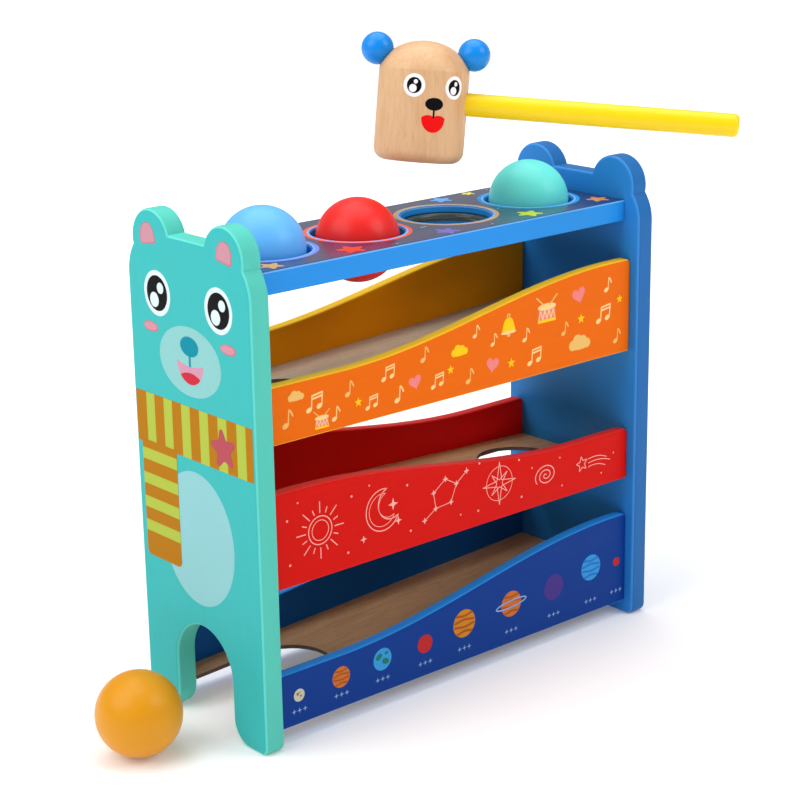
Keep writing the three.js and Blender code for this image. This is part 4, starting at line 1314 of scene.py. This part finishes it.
class BENCH_OT_shelf(bpy.types.Operator):
    """Makes the shelf with its grooved holes, its print and the four grip rings"""

    bl_idname = "bench.shelf"
    bl_label = "Pounding shelf"

    def execute(self, context):
        # The rim zone is a painted highlight along the shelf's rounded top arris; the face zone is the print
        zones = board_zones((0, 0, 1), SHELF_TOP, SHELF_DEPTHS, ("shelf_arris_highlight", "night"))
        finish = paint_finish("shelf_paint", paint("shelf"), GRAINS["shelf"], zones)
        varnish = paint_finish(
            "shelf_varnish", paint("night"), GRAINS["shelf"], gloss=(0.2, 0.32), uneven=0.12, relief=0.00005,
            sheen=0.5, coat=0.6)
        points, faces = shelf_skin(sizes().shelf_round / MM)
        on_top = [int(points[face, 2].min() > SHELF_TOP - FILM_SINK) for face in faces]
        even_faces(put_piece(
            "shelf_board", points, faces, [finish, varnish], "bench", "shelf_paint", ["pounding_shelf"],
            on_top))
        shelf_print().put(
            "shelf_star_print", lambda p, lift: np.c_[p, np.full(len(p), SHELF_TOP + lift)],
            "bench", "shelf_paint")
        rubber = paint_finish(
            "grip_rubber", display(RUBBER_COLOUR), GRAINS["rubber"], gloss=(0.2, 0.3), uneven=0.2,
            relief=0.00006, sheen=0.5)
        heights = {
            number: BALL_CENTRES[colour][2] - RING_MIDDLE
            for number, colour in ((0, "blue"), (1, "red"), (3, "green"))
        }
        for number, x in enumerate(HOLE_X):
            points, faces = ring_skin(x, heights.get(number))
            name = f"grip_ring_{number + 1}"
            put_piece(f"{name}_rubber", points, faces, [rubber], "bench", "grip_rubber", [name])
        return {"FINISHED"}


class BENCH_OT_rails(bpy.types.Operator):
    """Makes the six wave-topped side rails with painted edges and printed outer faces"""

    bl_idname = "bench.rails"
    bl_label = "Side rails"

    def execute(self, context):
        looks = {
            "blue": ("azure", "navy_shaded_inside", "royal", "royal_paint", planet_print),
            "red": ("rose", "crimson_shaded_inside", "red", "red_paint", sky_print),
            "orange": ("amber", "ochre_shaded_inside", "orange", "orange_paint", music_print),
        }
        for colour, (edge, inside, face, slot, design) in looks.items():
            low, high = rail_box(colour)
            thickness, outer = high[1] - low[1], -low[1]
            skin, faces = stacked_loops(board_loops(rail_outline(colour), thickness, sizes().rail_round / MM))
            for place, way in (("front", -1), ("back", 1)):
                y = way * (outer - thickness / 2) + skin[:, 2] - thickness / 2
                points = np.c_[skin[:, 0], y, low[2] + skin[:, 1]]
                node = f"{colour}_rail_{place}"
                # The inside zone paints each rail's inner face a darker copy of its edge paint: painted shade
                # in the channels between the rails
                zones = [
                    *board_zones((0, -way, 0), thickness - outer, RAIL_DEPTHS, (inside,)),
                    *board_zones((0, way, 0), outer, RAIL_DEPTHS, (face,)),
                ]
                finish = paint_finish(f"{node}_paint", paint(edge), GRAINS["rail"], zones, sheen=0.08)
                even_faces(put_piece(f"{node}_board", points, faces, [finish], "bench", slot, [node]))
                design(low[2], -way).put(f"{node}_print", rail_face(way, outer), "bench", slot)
        return {"FINISHED"}


def rail_face(way, outer):
    """The function that puts points of a print on the outer face of a rail, at a lift from it."""
    def place(points, lift):
        return np.c_[points[:, 0], np.full(len(points), way * (outer + lift)), points[:, 1]]
    return place


class BENCH_OT_ramps(bpy.types.Operator):
    """Gives the ramps their plywood and the dowels and pegs their bare wood"""

    bl_idname = "bench.ramps"
    bl_label = "Ramps and dowels"

    def execute(self, context):
        ramps = {
            "lower_ramp": (-RAMP_HOLE_X, True, "brown_plywood"),
            "middle_ramp": (RAMP_HOLE_X, False, "brown_plywood"),
            # The upper ramp's lighter plywood is painted light
            "upper_ramp": (-RAMP_HOLE_X, False, "lit_upper_plywood"),
        }
        for name, (hole_x, notched, wood) in ramps.items():
            give_finish(name, ramp_finish(f"{name}_plywood", hole_x, notched, wood))
        dowel_wood = wood_finish("dowel_wood", "dowel_wood", GRAINS["dowel"])[0]
        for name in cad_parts:
            if "dowel" in name or "peg" in name:
                give_finish(name, dowel_wood)
        return {"FINISHED"}


def give_finish(node, finish):
    """Puts a material on a solid that stays as it is."""
    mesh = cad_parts[node].data
    mesh.materials.clear()
    mesh.materials.append(finish)


class BENCH_OT_balls(bpy.types.Operator):
    """Makes the four painted balls"""

    bl_idname = "bench.balls"
    bl_label = "Balls"

    def execute(self, context):
        points, faces = turned(ball_profile(BALL_RADIUS), 72)
        for colour, centre in BALL_CENTRES.items():
            finish = paint_finish(
                f"ball_{colour}_paint", paint(f"ball_{colour}"), GRAINS["ball"], gloss=(0.36, 0.46),
                uneven=0.06, relief=0.00003, sheen=0.28, coat=0.1)
            put_piece(
                f"{colour}_ball_turned", points + centre, faces, [finish], f"{colour}_ball",
                f"ball_{colour}_paint", [f"ball_{colour}"])
        return {"FINISHED"}


def bead_seat():
    """Centre of an ear bead before its turn: out along the dome's normal from the seat, less its sink."""
    centre, up, out, _ = dome_ellipse()
    angle = math.radians(BEAD_ANGLE)
    seat = np.array([out * math.cos(angle), 0, centre + up * math.sin(angle)])
    normal = np.array([math.cos(angle) / out, 0, math.sin(angle) / up])
    return seat + normal / np.linalg.norm(normal) * (BEAD_RADIUS - BEAD_SINK)


def handle_profile():
    """Profile of the handle: a straight shaft from inside the head to a rounded tip."""
    tip = arc(HANDLE_RADIUS - HANDLE_ROUND, HANDLE_TO - HANDLE_ROUND, HANDLE_ROUND, 0, math.pi / 2, 8)
    stations = np.linspace(HANDLE_FROM, HANDLE_TO - HANDLE_ROUND, 20)
    shaft = np.c_[np.full(20, HANDLE_RADIUS), stations]
    return np.concatenate([[[0, HANDLE_FROM]], shaft, tip[1:], [[0, HANDLE_TO]]])


class BENCH_OT_hammer(bpy.types.Operator):
    """Makes the hammer: beech head, painted handle, bead ears and printed face"""

    bl_idname = "bench.hammer"
    bl_label = "Hammer"

    def execute(self, context):
        beech = wood_finish("beech", "beech", GRAINS["head"])[0]
        points, faces = turned(head_profile(), 96)
        put_piece(
            "hammer_head_beech", on_hammer(points), faces, [beech], "hammer", "beech", ["hammer_head"],
            sharp=11.0)

        handle = paint_finish(
            "handle_paint", paint("handle"), GRAINS["handle"], gloss=(0.28, 0.38), uneven=0.05,
            relief=0.00002, sheen=0.3, coat=0.1)
        points, faces = turned(handle_profile(), 48)
        put_piece(
            "hammer_handle_painted", on_hammer(points[:, [2, 0, 1]]), faces, [handle], "hammer",
            "handle_paint", ["hammer_handle"])

        bead = paint_finish(
            "bead_paint", paint("bead"), GRAINS["ball"], gloss=(0.26, 0.36), uneven=0.06, relief=0.00003,
            sheen=0.25, coat=0.12)
        points, faces = turned(ball_profile(BEAD_RADIUS, 28), 48)
        middle = bead_seat()
        for place, turn in (("right", BEAD_TURN), ("left", BEAD_TURN + 180)):
            around = np.append(rotated(middle[None, :2], turn)[0], middle[2])
            put_piece(
                f"hammer_ear_bead_{place}", on_hammer(points + around), faces, [bead], "hammer",
                "bead_paint", [f"hammer_ear_{place}"])
        put_hammer_face(hammer_face())
        return {"FINISHED"}


class BENCH_PT_sidebar(bpy.types.Panel):
    """Lists the pieces of the bench in the sidebar"""

    bl_idname = "BENCH_PT_sidebar"
    bl_label = "Ball pounding bench"
    bl_space_type = "VIEW_3D"
    bl_region_type = "UI"
    bl_category = "Bench"

    def draw(self, context):
        for operator in OPERATORS:
            self.layout.operator(operator.bl_idname)
        for group in (context.scene.bench_sizes, context.scene.bench_colours):
            for name in group.bl_rna.properties.keys():
                if name not in ("rna_type", "name"):
                    self.layout.prop(group, name)


OPERATORS = (
    BENCH_OT_stage, BENCH_OT_panels, BENCH_OT_shelf, BENCH_OT_rails, BENCH_OT_ramps, BENCH_OT_balls,
    BENCH_OT_hammer,
)
CLASSES = (BenchSizes, BenchColours, *OPERATORS, BENCH_PT_sidebar)


def register():
    """Registers the classes and their settings."""
    for item in CLASSES:
        bpy.utils.register_class(item)
    bpy.types.Scene.bench_sizes = PointerProperty(type=BenchSizes)
    bpy.types.Scene.bench_colours = PointerProperty(type=BenchColours)


def unregister():
    """Removes the settings and the classes."""
    del bpy.types.Scene.bench_colours
    del bpy.types.Scene.bench_sizes
    for item in reversed(CLASSES):
        bpy.utils.unregister_class(item)


def main():
    """Builds the stage and the pieces in order."""
    register()
    bpy.ops.bench.stage()
    bpy.ops.bench.panels()
    bpy.ops.bench.shelf()
    bpy.ops.bench.rails()
    bpy.ops.bench.ramps()
    bpy.ops.bench.balls()
    bpy.ops.bench.hammer()


if __name__ == "__main__":
    main()
